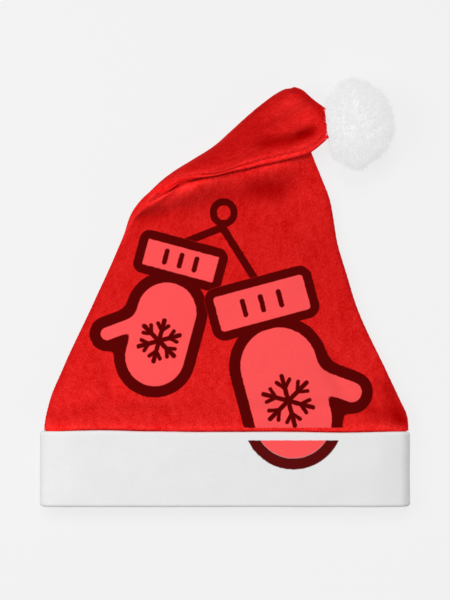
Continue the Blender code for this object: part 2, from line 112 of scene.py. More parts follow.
# Folds that show in the lying hat, seen from above: widths in the picture's pixels, depths in metres,
# where below nought is raised, painted light, whose shade darkens the cloth below nought and whose
# highlight pales it above, and a bent line through places of the picture.
FOLDS_AND_PAINTED_LIGHT = (
    # part, width on the left, width on the right, depth, painted light (painted shade below nought),
    # points
    ("front", 4, 19, -0.0098, 0.12, (
        (118, 219), (147, 205), (165, 195), (185, 187), (205, 180), (225, 174.9), (245, 171.2),
        (265, 166.8), (285, 162), (305, 156.6), (340, 144),
    )),
    ("front", 3.5, 9, -0.0036, 0.18, (
        (136, 213), (158, 202), (172, 195), (186, 188.5), (204, 182), (226, 176),
    )),
    ("strip", 4.6, 4.6, -0.0004, 0.34, (
        (128, 206), (165, 190), (185, 182), (205, 175), (225, 170.6), (245, 167), (265, 163), (285, 158),
        (305, 152.5), (340, 138),
    )),
    ("front", 4, 4, 0, -0.13, ((140, 196), (126, 226), (104, 276), (72, 346), (40, 436))),
    ("front", 4.5, 4.5, 0, -0.13, (
        (308, 140), (322, 180), (336, 236), (352, 294), (378, 350), (404, 416), (408, 440),
    )),
    ("front", 6, 6, 0.002, -0.26, ((128, 222), (146, 218), (158, 216), (176, 210))),
    ("front", 66, 66, 0, 0.09, ((-160, 398), (150, 402), (300, 402), (610, 398))),
    ("front", 7.5, 7.5, -0.0009, 0.38, ((144, 207), (160, 199), (178, 192), (204, 186))),
    ("front", 3, 4.5, 0, 0.24, (
        (150, 202), (176, 190.5), (205, 180.5), (225, 175.5), (245, 172), (265, 167.5), (285, 162.7),
        (305, 157.3), (355, 139),
    )),
    ("front", 10, 10, 0, -0.15, ((160, 214), (205, 201), (235, 196), (262, 191), (296, 181), (316, 172))),
    ("front", 13, 13, 0.0004, -0.23, ((240, 184), (268, 189), (294, 200))),
    ("front", 9, 9, -0.0006, 0.08, ((298, 166), (305, 185), (313, 210))),
    ("front", 9, 9, 0.0028, -0.27, (
        (318, 334), (330, 366), (341, 388), (356, 402), (374, 411), (398, 419), (432, 428),
    )),
    ("front", 8, 8, 0.0008, -0.3, ((376, 370), (392, 400), (402, 424), (410, 448))),
    ("front", 5.5, 5.5, 0.0011, -0.13, (
        (26, 414), (48, 414), (70, 414.5), (86, 411), (104, 400), (116, 388),
    )),
    ("front", 5.5, 5.5, 0.0009, -0.09, ((94, 340), (99, 362), (104, 384), (110, 412))),
    ("front", 9, 9, -0.0006, 0.07, ((122, 352), (128, 380), (134, 410))),
    ("front", 6, 6, 0.0005, -0.04, ((112, 409), (150, 408), (186, 413))),
    ("front", 14, 14, 0.0009, -0.03, ((196, 345), (232, 322), (262, 288))),
    ("front", 12, 12, 0.0007, -0.03, ((160, 262), (180, 290), (188, 325))),
    ("front", 12, 12, 0.0008, -0.04, ((300, 235), (318, 270), (322, 310))),
    ("back", 6.6, 6.6, 0.0034, -0.34, (
        (246, 150), (264, 145.5), (280, 143), (292, 141), (304, 136.5), (322, 127),
    )),
    ("back", 4, 4, 0.001, -0.24, ((294, 139), (306, 134.5), (319, 128))),
    ("back", 16, 16, 0.0007, -0.16, ((176, 178), (206, 160), (234, 146), (266, 122), (284, 112))),
    ("back", 3.2, 3.2, -0.0003, 0.24, (
        (128, 200), (165, 186), (185, 178.5), (205, 172), (225, 167.5), (245, 164), (265, 160),
        (285, 155), (305, 149.5), (340, 135),
    )),
    ("back", 15, 15, 0, -0.13, ((96, 222), (150, 182), (190, 156), (230, 130), (288, 84), (330, 54))),
    ("back", 5.5, 5.5, 0, -0.34, ((96, 216), (150, 176), (190, 152), (230, 125), (288, 82), (330, 50))),
    ("back", 6, 6, 0, -0.36, ((270, 90), (294, 88), (314, 104), (326, 118), (332, 130), (334, 150))),
    ("back", 11, 11, -0.001, 0.22, ((278, 103), (296, 111), (318, 126))),
    ("back", 6, 6, -0.0003, 0.05, ((258, 120), (285, 114))),
)
# The pompom's outline from above: share of its half sizes at each angle from +X.
POMPOM_OUTLINE = (
    # degrees, share
    (4, 0.952), (23, 0.944), (33, 0.929), (56, 0.908), (67, 0.859), (78, 0.896), (98, 0.989),
    (108, 1.010), (113, 0.978), (123, 1.028), (130, 0.933), (142, 1.004), (152, 1.040), (166, 1.007),
    (181, 0.952), (206, 0.935), (220, 0.960), (240, 0.920), (258, 0.941), (268, 0.975), (274, 0.940),
    (287, 0.849), (301, 0.835), (318, 0.892), (331, 0.932), (348, 0.980),
)

PIXEL = 0.000784  # metres of the hat to a pixel of the picture
PICTURE_ORIGIN = (225, 471)  # the place of the picture, across and down, that the band's middle is at
PLACE_DIGITS = 4  # places and widths from the picture are kept to a tenth of a millimetre
FACING_FROM = 0.15  # how far up the cloth faces where a fold starts to show on it
FACING_OVER = 0.45  # and how much more until it fully shows
FOLD_ENDS = 0.3  # share of a fold over which it rises at each end

LOOP_SAMPLES = 420  # points on each half of a section's loop
EDGE_SAMPLES = 1200  # points along one edge of the unfolded crown
BODY_ROWS = 118
FOLD_ROWS = 44
POINT_ROWS = 40
GATHER_ROWS = 12
HEM_ROWS = 8
RIM_ROWS = 12
RIM_SPREAD = 1.7  # how much faster the crown widens than it rises where it leaves the band
EDGE_COLUMNS = 13  # columns within the rounded lip beside a seam
EDGE_EASE = 1.6  # how much closer these lie towards the seam
EDGE_REACH = 0.010
EDGE_SHARE = 0.26  # most of a narrow panel that its lip's columns take
MIDDLE_COLUMNS = 118
DENT_CLEAR = 0.25  # share of a panel, beside each seam, over which its dents fade
SHIFT_EASE = 1.5  # how late in the fold the left seam moves over

LIP_RUN = 34  # rows before the fold over which the seam's lips grow
PUCKER = 0.35  # how far a stitch varies the seam's depth
SEAM_LOSS = 0.65  # share of the seam's depth that is lost past the fold
BEAD_AT, BEAD_REACH = 1.2, 0.6  # the bead beside the folded seam, as shares of the lip's reach
LIP_PAINTED_HIGHLIGHT, LIP_HIGHLIGHT_REACH = 0.18, 0.0068  # painted highlight on the lips beside the folded seam
HEM_PAINTED_HIGHLIGHT, HEM_HIGHLIGHT_REACH = 0.34, 0.0034  # and a painted highlight, lightening the groove's shade, where the crown leaves the band,
HEM_HIGHLIGHT_RISE = 0.0022  # this far above it
GATHERS_STRETCH = (1.0, 0.22, 0.0)  # the hem's gathers run up the crown and pass through the cloth
GATHERS_LEVEL, GATHERS_REACH = 0.033, 0.012
NAP_CLEAR = 0.004  # the crown's uneven nap fades within this of a seam

SWAY, SWAY_REACH = 0.0011, 0.018  # of the seam between the band and the crown
SWAY_LEVEL = 0.0312
SWAY_PITCH, SWAY_SEED = 17.0, 3.0  # waves to a metre, and which row of the noise
TILT, TILT_OVER = 0.0009, 0.12  # this seam's rise to the left, and how far out that is reached
PEAK = (0.0545, 0.3020)  # of the fold
PEAK_PULL, PEAK_REACH = 0.0021, 0.0058  # how far the peak is drawn in, and how wide

SEED_STEPS = (13.7, 5.1, 9.3)  # from one seed's place in the noise to the next one's
# Layers of unevenness: height and size of feature in metres, and seed.
HEM_GATHERS = ((0.00022, 0.0062, 7),)
CROWN_NAP = ((0.00042, 0.034, 5), (0.00030, 0.015, 1), (0.00012, 0.0042, 2))
BAND_LUMPS = ((0.00042, 0.036, 3), (0.00012, 0.0085, 4))

BAND_COLUMNS = 400
RIM_TURNS = 13  # points round each rolled rim of the band
INSIDE_ROWS, OUTSIDE_ROWS = 26, 46
RIM_SHARE = 0.06  # share of the band's height beside each rim that has no rows of its own

FLOOR_DROP = 0.0004
FLOOR_SIZE = 8.0
WHITE = (1.0, 1.0, 1.0)


def measure(name, description, default, unit="LENGTH"):
    """One of the hat's sizes, in metres unless another unit is given."""
    return FloatProperty(name=name, description=description, default=default, unit=unit)


def shade(name, description, default):
    """One of the hat's colours, as linear values."""
    return FloatVectorProperty(name=name, description=description, default=default, subtype="COLOR")


class HatSizes(bpy.types.PropertyGroup):
    """Sizes of the lying hat."""

    band_width: measure("Band width", "Across the lying band", 0.290)
    band_height: measure("Band height", "From the opening to the crown", 0.0625)
    band_turned: measure("Band turned in", "Drawn back from the opening by the rolled rim", 0.0038)
    band_thickness: measure("Band thickness", "Both sides and the hollow between", 0.026)
    band_wall: measure("Band wall", "Thickness of the plush", 0.005)
    band_edge: measure("Band edge", "Rounding of the band's side edges", 0.008)
    band_roll: measure("Band roll", "Reach of the band's side slopes", 0.030)
    crown_width: measure("Crown width", "Across the crown at the band", 0.287)
    crown_length: measure("Crown length", "From the band to the blunt end", 0.300)
    crown_rise: measure("Crown rise", "Greatest height of the crown", 0.0245)
    cloth: measure("Fleece thickness", "Thickness of the crown's cloth", 0.002)
    seam_edge: measure("Seam edge", "Rounding of the crown's side edges", 0.003)
    under_roll: measure("Under roll", "Reach of the slope under a side edge", 0.012)
    point_roll: measure("Point roll", "Reach of the slope beside the folded point's edges", 0.024)
    hem_depth: measure("Hem depth", "Hem tucked inside the band", 0.012)
    clearance: measure("Clearance", "Kept between pieces that meet", 0.0003)
    lip: measure("Seam lip", "Reach of the rounded lip beside a seam", 0.0030)
    lip_drop: measure("Seam depth", "How deep a seam lies", 0.0008)
    lip_bead: measure("Lip bead", "Swelling of the cloth beside the folded seam", 0.0008)
    stitch: measure("Stitch length", "Pitch of the side seams' stitches", 0.0042)
    fold_left: measure("Fold's left end", "Height as a share of the crown's length", 0.646, "NONE")
    fold_right: measure("Fold's right end", "Height as a share of the crown's length", 0.916, "NONE")
    fold_radius: measure("Fold radius", "Bend of the layer the seams lie in", 0.0095)
    fold_half: measure("Half thickness", "Half the hat's thickness at the fold", 0.007)
    fold_turn: FloatProperty(
        name="Fold turn", description="Angle that the point turns through", default=math.radians(185),
        subtype="ANGLE",
    )
    fold_bow: measure("Fold bow", "How far the folded edge is drawn in", 0.0034)
    fold_bow_at: measure("Bow's place", "Share of the fold's length", 0.38, "NONE")
    fold_bow_reach: measure("Bow's reach", "Share of the fold's length", 0.22, "NONE")
    seam_shift: measure("Seam shift", "Left seam rolled up on to the point", 0.008)
    gather: measure("Gather", "Length of the blunt end's neck", 0.010)
    pompom_size: FloatVectorProperty(
        name="Pompom size", description="Across, along and up", default=(0.059, 0.075, 0.058),
        subtype="XYZ_LENGTH",
    )
    pompom_settle: measure("Pompom settle", "Pile pressed flat below", 0.002)
    pompom_sink: measure("Pompom sink", "Blunt end's depth in the pile", 0.005)
    pompom_droop: measure("Pompom droop", "How far it hangs towards the band", 0.0027)
    locks: IntProperty(name="Locks", description="Locks of pile in the pompom", default=330)
    strands_per_lock: IntProperty(name="Strands", description="Strands in each lock", default=38)


class HatColours(bpy.types.PropertyGroup):
    """Colours of the cloth, as linear values."""

    fleece: shade("Fleece", "Outside of the crown", (0.69, 0.0052, 0.0047))
    plush: shade("Plush", "Band", (0.80, 0.80, 0.805))
    # Kept dark: the pile's painted glow gives most of its whiteness.
    pile: shade("Pile", "Pompom", (0.35, 0.35, 0.357))
    print_fill: shade("Print fill", "Inside of the printed mittens", (1.0, 0.089, 0.093))
    print_line: shade("Print line", "Outline of the printed mittens", (0.100, 0.0008, 0.0008))
    floor: shade("Floor", "Ground that the hat lies on", (0.10, 0.10, 0.10))


def eased(at, table):
    """Rows of a table at the stations asked for, on smooth curves through its rows."""
    table = np.array(table, float)
    stations, values = table[:, 0], table[:, 1:]
    slopes = np.gradient(values, stations, axis=0)
    at = np.clip(np.atleast_1d(at), stations[0], stations[-1])
    k = np.clip(np.searchsorted(stations, at) - 1, 0, len(stations) - 2)
    span = (stations[k + 1] - stations[k])[:, None]
    t = (at - stations[k])[:, None] / span
    return (
        (2 * t**3 - 3 * t**2 + 1) * values[k]
        + (t**3 - 2 * t**2 + t) * span * slopes[k]
        + (3 * t**2 - 2 * t**3) * values[k + 1]
        + (t**3 - t**2) * span * slopes[k + 1]
    )


def unit(vectors):
    """The vectors made one long."""
    return vectors / np.linalg.norm(vectors, axis=1)[:, None]


def lengths_along(line):
    """How much of a line's length is passed at each of its points."""
    steps = np.linalg.norm(np.diff(line, axis=0), axis=1)
    return np.concatenate([[0.0], np.cumsum(steps)])


def interpolated(at, lengths, rows):
    """Rows of numbers, one for each length, at the lengths asked for."""
    return np.stack([np.interp(at, lengths, column) for column in rows.T], axis=1)


def points_along(line, at):
    return interpolated(at, lengths_along(line), line)


def blunt_end(left, right):
    """Middle of the line between two edge points, half of that line, and the way onward from it."""
    half = (right - left) / 2
    return (left + right) / 2, half, np.array([-half[1], half[0]]) / np.linalg.norm(half)


def swell(distance, reach):
    """Nought at the edge, rising in a rounded way to one at the reach."""
    return 1 - (1 - np.minimum(distance / reach, 1.0)) ** 2


def hump(distance, reach):
    """One in the middle, easing away to nought past the reach."""
    return np.exp(-((distance / reach) ** 2))


def half_profile(width, edge, depth, roll_left, roll_right):
    """Distance across, and depth from the seams' level, over one half of a section."""
    across = width * (1 - np.cos(np.linspace(0, math.pi, LOOP_SAMPLES))) / 2
    from_right = width - across
    from_edge = np.minimum(np.minimum(across, from_right) / edge, 1.0)
    rounding = edge * np.sqrt(np.maximum(1 - (1 - from_edge) ** 2, 0.0))
    rise = (depth - edge) * swell(across, roll_left) * swell(from_right, roll_right)
    return across, rounding + rise


def section_loop(left, right, seam, over, under, edge, rolls_over, roll_under):
    """Closed loop of a section between two edge points: over the top, then back underneath."""
    width = float(np.linalg.norm(right - left))
    edge = min(edge, over, under, width / 2)
    across, top = half_profile(width, edge, over, *rolls_over)
    _, bottom = half_profile(width, edge, under, roll_under, roll_under)
    flat = np.concatenate([across, across[::-1][1:-1]])
    height = np.concatenate([seam + top, (seam - bottom)[::-1][1:-1]])
    place = left + flat[:, None] * (right - left) / width
    return np.column_stack([place, height])


def loop_frame(loop):
    """The loop closed on itself, its lengths, and its outward normals in the section's plane."""
    closed = np.vstack([loop, loop[:1]])
    tangent = np.roll(loop, -1, axis=0) - np.roll(loop, 1, axis=0)
    direction = loop[LOOP_SAMPLES - 1, :2] - loop[0, :2]
    direction = direction / np.linalg.norm(direction)
    normal = np.column_stack([-tangent[:, 2:] * direction, tangent[:, :2] @ direction])
    normal = unit(normal)
    return closed, lengths_along(closed), np.vstack([normal, normal[:1]])


def offset_loop(loop, inward):
    _, _, normal = loop_frame(loop)
    return loop - inward * normal[:-1]


def sampled(loop, at):
    """Points and outward normals of a loop at lengths from its left end, counted over the top."""
    closed, lengths, normals = loop_frame(loop)
    at = np.mod(at, lengths[-1])
    return interpolated(at, lengths, closed), unit(interpolated(at, lengths, normals))


class HatForm:
    """The lying hat's sections, set out on the unfolded hat and carried round the fold."""

    def __init__(self, sizes):
        self.sizes = sizes
        self.band_top = sizes.band_height / 2
        self.half_crown = sizes.crown_width / 2
        self.bend_start = -(sizes.fold_radius + sizes.fold_half)
        self.fold_height = sizes.fold_half * (1 + POINT_SECTIONS[0][1])
        self.left = self.edge(LEFT_EDGE, -1)
        self.right = self.edge(RIGHT_EDGE, 1)
        self.fold_from = self.at_height(self.left, sizes.fold_left)
        fold_to = self.at_height(self.right, sizes.fold_right)
        self.fold_length = float(np.linalg.norm(fold_to - self.fold_from))
        self.along = (fold_to - self.fold_from) / self.fold_length
        self.across = np.array([-self.along[1], self.along[0]])

    def edge(self, table, side):
        """One edge of the unfolded crown, as a fine line of points."""
        length = self.sizes.crown_length
        corners = [(side * out * self.half_crown, self.band_top + up * length) for out, up in table]
        corners = np.array(corners)
        stations = lengths_along(corners)
        return eased(np.linspace(0, stations[-1], EDGE_SAMPLES), np.column_stack([stations, corners]))

    def at_height(self, line, up):
        height = self.band_top + up * self.sizes.crown_length
        return np.array([np.interp(height, line[:, 1], line[:, 0]), height])

    def past_fold(self, points):
        """How far each point of the unfolded hat lies past the folded edge."""
        from_left = points[..., :2] - self.fold_from
        share = (from_left @ self.along) / self.fold_length
        bow = hump(share - self.sizes.fold_bow_at, self.sizes.fold_bow_reach)
        return from_left @ self.across + self.sizes.fold_bow * bow

    def folded(self, points):
        """Carries points of the unfolded hat round the fold, and on to where the point lies."""
        radius, half = self.sizes.fold_radius, self.sizes.fold_half
        points = np.array(points, float)
        past = self.past_fold(points)
        run = np.maximum(past - self.bend_start, 0.0)
        turn = np.minimum(run / radius, self.sizes.fold_turn)
        rest = run - turn * radius
        arm = radius + half - points[..., 2]
        reach = self.bend_start + arm * np.sin(turn) + rest * np.cos(turn)
        height = half + radius - arm * np.cos(turn) + rest * np.sin(turn)
        bent = run > 0
        moved = points.copy()
        moved[..., :2] += np.where(bent, reach - past, 0.0)[..., None] * self.across
        moved[..., 2] = np.where(bent, height, points[..., 2])
        return moved

    def length_where_past(self, line, past):
        return float(np.interp(past, self.past_fold(line), lengths_along(line)))

    def band_loop(self, height):
        """The band's outer loop at one distance along the hat."""
        sizes = self.sizes
        half = sizes.band_thickness / 2
        left = np.array([-sizes.band_width / 2, height])
        right = np.array([sizes.band_width / 2, height])
        rolls = (sizes.band_roll, sizes.band_roll)
        return section_loop(left, right, half, half, half, sizes.band_edge, rolls, sizes.band_roll)

    def hem_loop(self, height):
        return offset_loop(self.band_loop(height), self.sizes.band_wall + self.sizes.clearance)

    def body_rows(self):
        """Edge points and section sizes from the band to the start of the bend."""
        starts = [self.length_where_past(line, self.bend_start) for line in (self.left, self.right)]
        stations = np.linspace(0, 1, BODY_ROWS)
        ends = [points_along(line, stations * s) for line, s in zip((self.left, self.right), starts)]
        half, rise_to = self.sizes.fold_half, self.sizes.crown_rise
        rows = []
        for left, right, row in zip(*ends, eased(stations, BODY_SECTIONS)):
            rise, seam, lift, swell_left, swell_right = row
            half_width = np.linalg.norm(right - left) / 2
            level = half + seam * (rise_to / 2 - half)
            under = level - max(lift, 0.0) * self.sizes.band_wall
            over = self.fold_height + rise * (rise_to - self.fold_height) - level
            rolls = (swell_left * half_width, swell_right * half_width)
            rows.append((left, right, level, over, under, rolls, 0.0))
        return rows

    def point_rows(self):
        """Edge points and section sizes round the bend and on to the blunt end."""
        bend_end = self.bend_start + self.sizes.fold_turn * self.sizes.fold_radius
        ends = []
        for line in (self.left, self.right):
            start = self.length_where_past(line, self.bend_start)
            end = self.length_where_past(line, bend_end)
            bend = np.linspace(start, end, FOLD_ROWS + 1)[1:]
            flap = np.linspace(end, lengths_along(line)[-1], POINT_ROWS)[1:]
            ends.append(points_along(line, np.concatenate([bend, flap])))
        stations = np.concatenate([np.zeros(FOLD_ROWS), np.linspace(0, 1, POINT_ROWS)[1:]])
        shifts = np.linspace(0, 1, FOLD_ROWS + 1)[1:] ** SHIFT_EASE
        shifts = np.concatenate([shifts, np.ones(POINT_ROWS - 1)]) * self.sizes.seam_shift
        half = self.sizes.fold_half
        rows = []
        for left, right, row, shift in zip(*ends, eased(stations, POINT_SECTIONS), shifts):
            inside, outside, swell_left, swell_right = row
            half_width = np.linalg.norm(right - left) / 2
            rolls = (swell_left * half_width, swell_right * half_width)
            rows.append((left, right, half, inside * half, outside * half, rolls, shift))
        return rows

    def gather_rows(self, left, right, level, over, under, rolls, shift):
        """The blunt end drawn in to a neck that the pompom is sewn on."""
        middle, half, onward = blunt_end(left, right)
        rows = []
        stations = np.linspace(0, 1, GATHER_ROWS + 1)[1:]
        for station, (width, thickness) in zip(stations, eased(stations, GATHER_SECTIONS)):
            centre = middle + onward * station * self.sizes.gather
            narrow = tuple(roll * width for roll in rolls)
            ends = (centre - half * width, centre + half * width)
            rows.append((*ends, level, over * thickness, under * thickness, narrow, shift * width))
        return rows

    def crown_loops(self):
        """Every section of the unfolded crown, from its hem to its neck, with the seam's shift."""
        sizes = self.sizes
        found = self.body_rows() + self.point_rows()
        found += self.gather_rows(*found[-1])
        loops, shifts = [], []
        for left, right, level, over, under, rolls, shift in found:
            roll = sizes.under_roll if len(loops) < BODY_ROWS else sizes.point_roll
            roll = min(roll, float(np.linalg.norm(right - left)) / 2)
            loops.append(section_loop(left, right, level, over, under, sizes.seam_edge, rolls, roll))
            shifts.append(shift)
        heights = np.linspace(self.band_top - sizes.hem_depth, self.band_top - sizes.cloth, HEM_ROWS)
        hem = [self.hem_loop(height) for height in heights]
        rim = []
        for turn in np.linspace(0, math.pi / 2, RIM_ROWS + 1)[:-1]:
            widened = min(1.0, RIM_SPREAD * math.sin(turn))
            outward = np.array([widened, 1 - math.cos(turn), math.sin(turn)])
            rim.append((1 - outward) * self.hem_loop(self.band_top) + outward * loops[0])
        return hem + rim + loops, [0.0] * (HEM_ROWS + RIM_ROWS) + shifts

    def neck(self):
        """Where the folded blunt end lies, and the way that it points."""
        middle, _, onward = blunt_end(self.left[-1], self.right[-1])
        tip = middle + onward * self.sizes.gather
        level = self.sizes.fold_half
        ends = self.folded(np.array([[*middle, level], [*tip, level]]))
        step = ends[1, :2] - ends[0, :2]
        return ends[0], step / np.linalg.norm(step)

    def pompom_centre(self):
        """The pompom's middle: on past the blunt end, a little lower, and resting on the floor."""
        sizes = self.sizes
        place, onward = self.neck()
        centre = place[:2] + onward * (sizes.pompom_size[0] / 2 - sizes.pompom_sink)
        level = sizes.pompom_size[2] / 2 - sizes.pompom_settle
        return np.array((centre[0], centre[1] - sizes.pompom_droop, level))


def dented(points, panel, away, form):
    """Pushes the panel's dents in, by the same amount on both faces of the cloth."""
    length = form.sizes.crown_length
    moved = points.copy()
    inward = -1.0 if panel == "front" else 1.0
    for name, out, up, reach, width, angle, depth in DENTS:
        if name != panel:
            continue
        from_centre = points[:, :2] - (out * form.half_crown, form.band_top + up * length)
        turn = math.radians(angle)
        along = from_centre @ np.array([math.cos(turn), math.sin(turn)])
        aside = from_centre @ np.array([-math.sin(turn), math.cos(turn)])
        spread = (along / (reach * length)) ** 2 + (aside / (width * length)) ** 2
        moved[:, 2] += inward * depth * form.sizes.crown_rise * away * np.exp(-spread)
    return moved


def near_line(points, line):
    """Distance from a bent line, share of its length passed, and whether a point is on its left."""
    lengths = lengths_along(line)
    distance = np.full(points.shape[:-1], np.inf)
    share = np.zeros(points.shape[:-1])
    left = np.zeros(points.shape[:-1], bool)
    for start, end, passed in zip(line[:-1], line[1:], lengths[:-1]):
        run = end - start
        along = np.clip(((points - start) @ run) / (run @ run), 0.0, 1.0)
        off = points - start - along[..., None] * run
        away = np.linalg.norm(off, axis=-1)
        share = np.where(away < distance, (passed + along * np.linalg.norm(run)) / lengths[-1], share)
        left = np.where(away < distance, run[0] * off[..., 1] > run[1] * off[..., 0], left)
        distance = np.minimum(distance, away)
    return distance, share, left


def smoothed(value):
    """The value itself from nought to one, with its course there eased, and no more or less."""
    value = np.clip(value, 0.0, 1.0)
    return value**2 * (3 - 2 * value)


def on_hat(places):
    """Places of the picture, in pixels, as metres on the hat seen from above."""
    return np.round((np.array(places) - PICTURE_ORIGIN) * (PIXEL, -PIXEL), PLACE_DIGITS)


def creases_and_painted_light(points, normals, part):
    """How far the folds lower each point that faces up, and the painted shade and highlight that they lay
    on it.
    """
    facing = smoothed((normals[..., 2] - FACING_FROM) / FACING_OVER)
    lowered = np.zeros(points.shape[:-1])
    tone = np.zeros(points.shape[:-1])
    for name, width_left, width_right, depth, change, line in FOLDS_AND_PAINTED_LIGHT:
        if name != part:
            continue
        distance, share, left = near_line(points[..., :2], on_hat(line))
        width = np.round(np.where(left, width_left, width_right) * PIXEL, PLACE_DIGITS)
        ends = smoothed(np.minimum(share, 1 - share) / FOLD_ENDS)
        weight = hump(distance, width) * ends * facing
        lowered += depth * weight
        # painted shade and painted highlight along the fold
        tone += change * weight
    return lowered, tone


def waved(points):
    """Sways the seam between the band and the crown a little, and blunts the peak of the fold."""
    x, y = points[..., 0], points[..., 1]
    sway = np.array([noise.noise(Vector((at * SWAY_PITCH, SWAY_SEED, 0.0))) for at in x.ravel()])
    tilt = TILT * np.clip(-x / TILT_OVER, 0.0, 1.0)
    moved = points.copy()
    moved[..., 1] += (SWAY * sway.reshape(x.shape) + tilt) * hump(y - SWAY_LEVEL, SWAY_REACH)
    moved[..., 1] -= PEAK_PULL * hump(np.linalg.norm(points[..., :2] - PEAK, axis=-1), PEAK_REACH)
    return moved


def panel_columns(length):
    """Distances across a panel, close together beside its two seams."""
    reach = min(EDGE_REACH, EDGE_SHARE * length)
    beside = reach * np.linspace(0, 1, EDGE_COLUMNS) ** EDGE_EASE
    middle = np.linspace(reach, length - reach, MIDDLE_COLUMNS + 2)[1:-1]
    return np.concatenate([beside, middle, (length - beside)[::-1]])


def grid_normals(grid):
    """Outward normals of a grid of points, by its rows and columns."""
    down = np.gradient(grid, axis=0)
    over = np.gradient(grid, axis=1)
    normal = np.cross(over, down)
    return normal / np.maximum(np.linalg.norm(normal, axis=2), 1e-12)[..., None]


def rough(points, size, seed):
    """Smooth noise at the points, from -1 to 1, with features of about that size."""
    shift = Vector([seed * step for step in SEED_STEPS])
    flat = points.reshape(-1, 3) / size
    values = [noise.noise(Vector(p) + shift) for p in flat]
    return np.array(values).reshape(points.shape[:-1])


def uneven(points, layers):
    """Layers of smooth noise at the points, added up."""
    return sum(height * rough(points, size, seed) for height, size, seed in layers)


def new_piece(name, vertices, faces, materials, slots=None, uvs=None, tone=None):
    """A mesh object from arrays, with each face's material, and each vertex's UV and painted shade and
    highlight.
    """
    mesh = bpy.data.meshes.new(name)
    mesh.from_pydata(vertices.tolist(), [], faces)
    for material in materials:
        mesh.materials.append(material)
    if slots is not None:
        mesh.polygons.foreach_set("material_index", np.array(slots, np.int32))
    if uvs is not None:
        layer = mesh.uv_layers.new(name="cloth")
        corner = np.zeros(len(mesh.loops), np.int32)
        mesh.loops.foreach_get("vertex_index", corner)
        layer.data.foreach_set("uv", uvs[corner].astype(np.float32).ravel())
    # The tone attribute holds the folds' painted shade and highlight.
    if tone is not None:
        values = mesh.attributes.new("tone", "FLOAT", "POINT")
        values.data.foreach_set("value", tone.astype(np.float32))
    mesh.shade_smooth()
    mesh.update()
    piece = bpy.data.objects.new(name, mesh)
    bpy.context.scene.collection.objects.link(piece)
    return piece


def shell(outer, inner):
    """Vertices and faces of a sheet of cloth between two grids; its outer faces come first."""
    rows, columns, _ = outer.shape
    count = rows * columns
    index = np.arange(count).reshape(rows, columns)
    corners = (index[:-1, :-1], index[:-1, 1:], index[1:, 1:], index[1:, :-1])
    quads = np.stack(corners, -1).reshape(-1, 4)
    rim = np.concatenate([index[0], index[1:, -1], index[-1, -2::-1], index[-2:0:-1, 0]])
    onward = np.roll(rim, -1)
    edge = np.stack([onward, rim, rim + count, onward + count], -1)
    faces = np.vstack([quads, quads[:, ::-1] + count, edge])
    return np.vstack([outer.reshape(-1, 3), inner.reshape(-1, 3)]), faces.tolist(), len(quads)


def by_node(operation, swapped=False):
    """A method of Field that adds one Math node, with its sides swapped for a reflected operator."""

    def method(field, *others):
        values = (*others, field) if swapped else (field, *others)
        return field.surface.node("ShaderNodeMath", {"operation": operation}, dict(enumerate(values)))

    return method


class Field:
    """A shader socket that adds Math nodes where it is used in an expression."""

    def __init__(self, surface, socket):
        self.surface = surface
        self.socket = socket

    __add__ = by_node("ADD")
    __radd__ = by_node("ADD", swapped=True)
    __sub__ = by_node("SUBTRACT")
    __rsub__ = by_node("SUBTRACT", swapped=True)
    __mul__ = by_node("MULTIPLY")
    __rmul__ = by_node("MULTIPLY", swapped=True)
    __truediv__ = by_node("DIVIDE")
    __abs__ = by_node("ABSOLUTE")
    sqrt = by_node("SQRT")
    least = by_node("MINIMUM")
    most = by_node("MAXIMUM")
    blended = by_node("SMOOTH_MIN")

    def clamped(self):
        return self.most(0.0).least(1.0)

    def swing(self, contrast):
        """How far a noise lies from its middle, times a contrast."""
        return (self - 0.5) * contrast

    def below(self, edge, soft):
        """One where the value is below the edge, easing to nought above it."""
        return ((edge - self) / soft + 0.5).clamped()


PAINTED_LIGHT_DEPTH = 2.4  # how much more than the red the folds' painted shade and highlight change the green and the blue
SHEEN_ROUGHNESS = 0.45


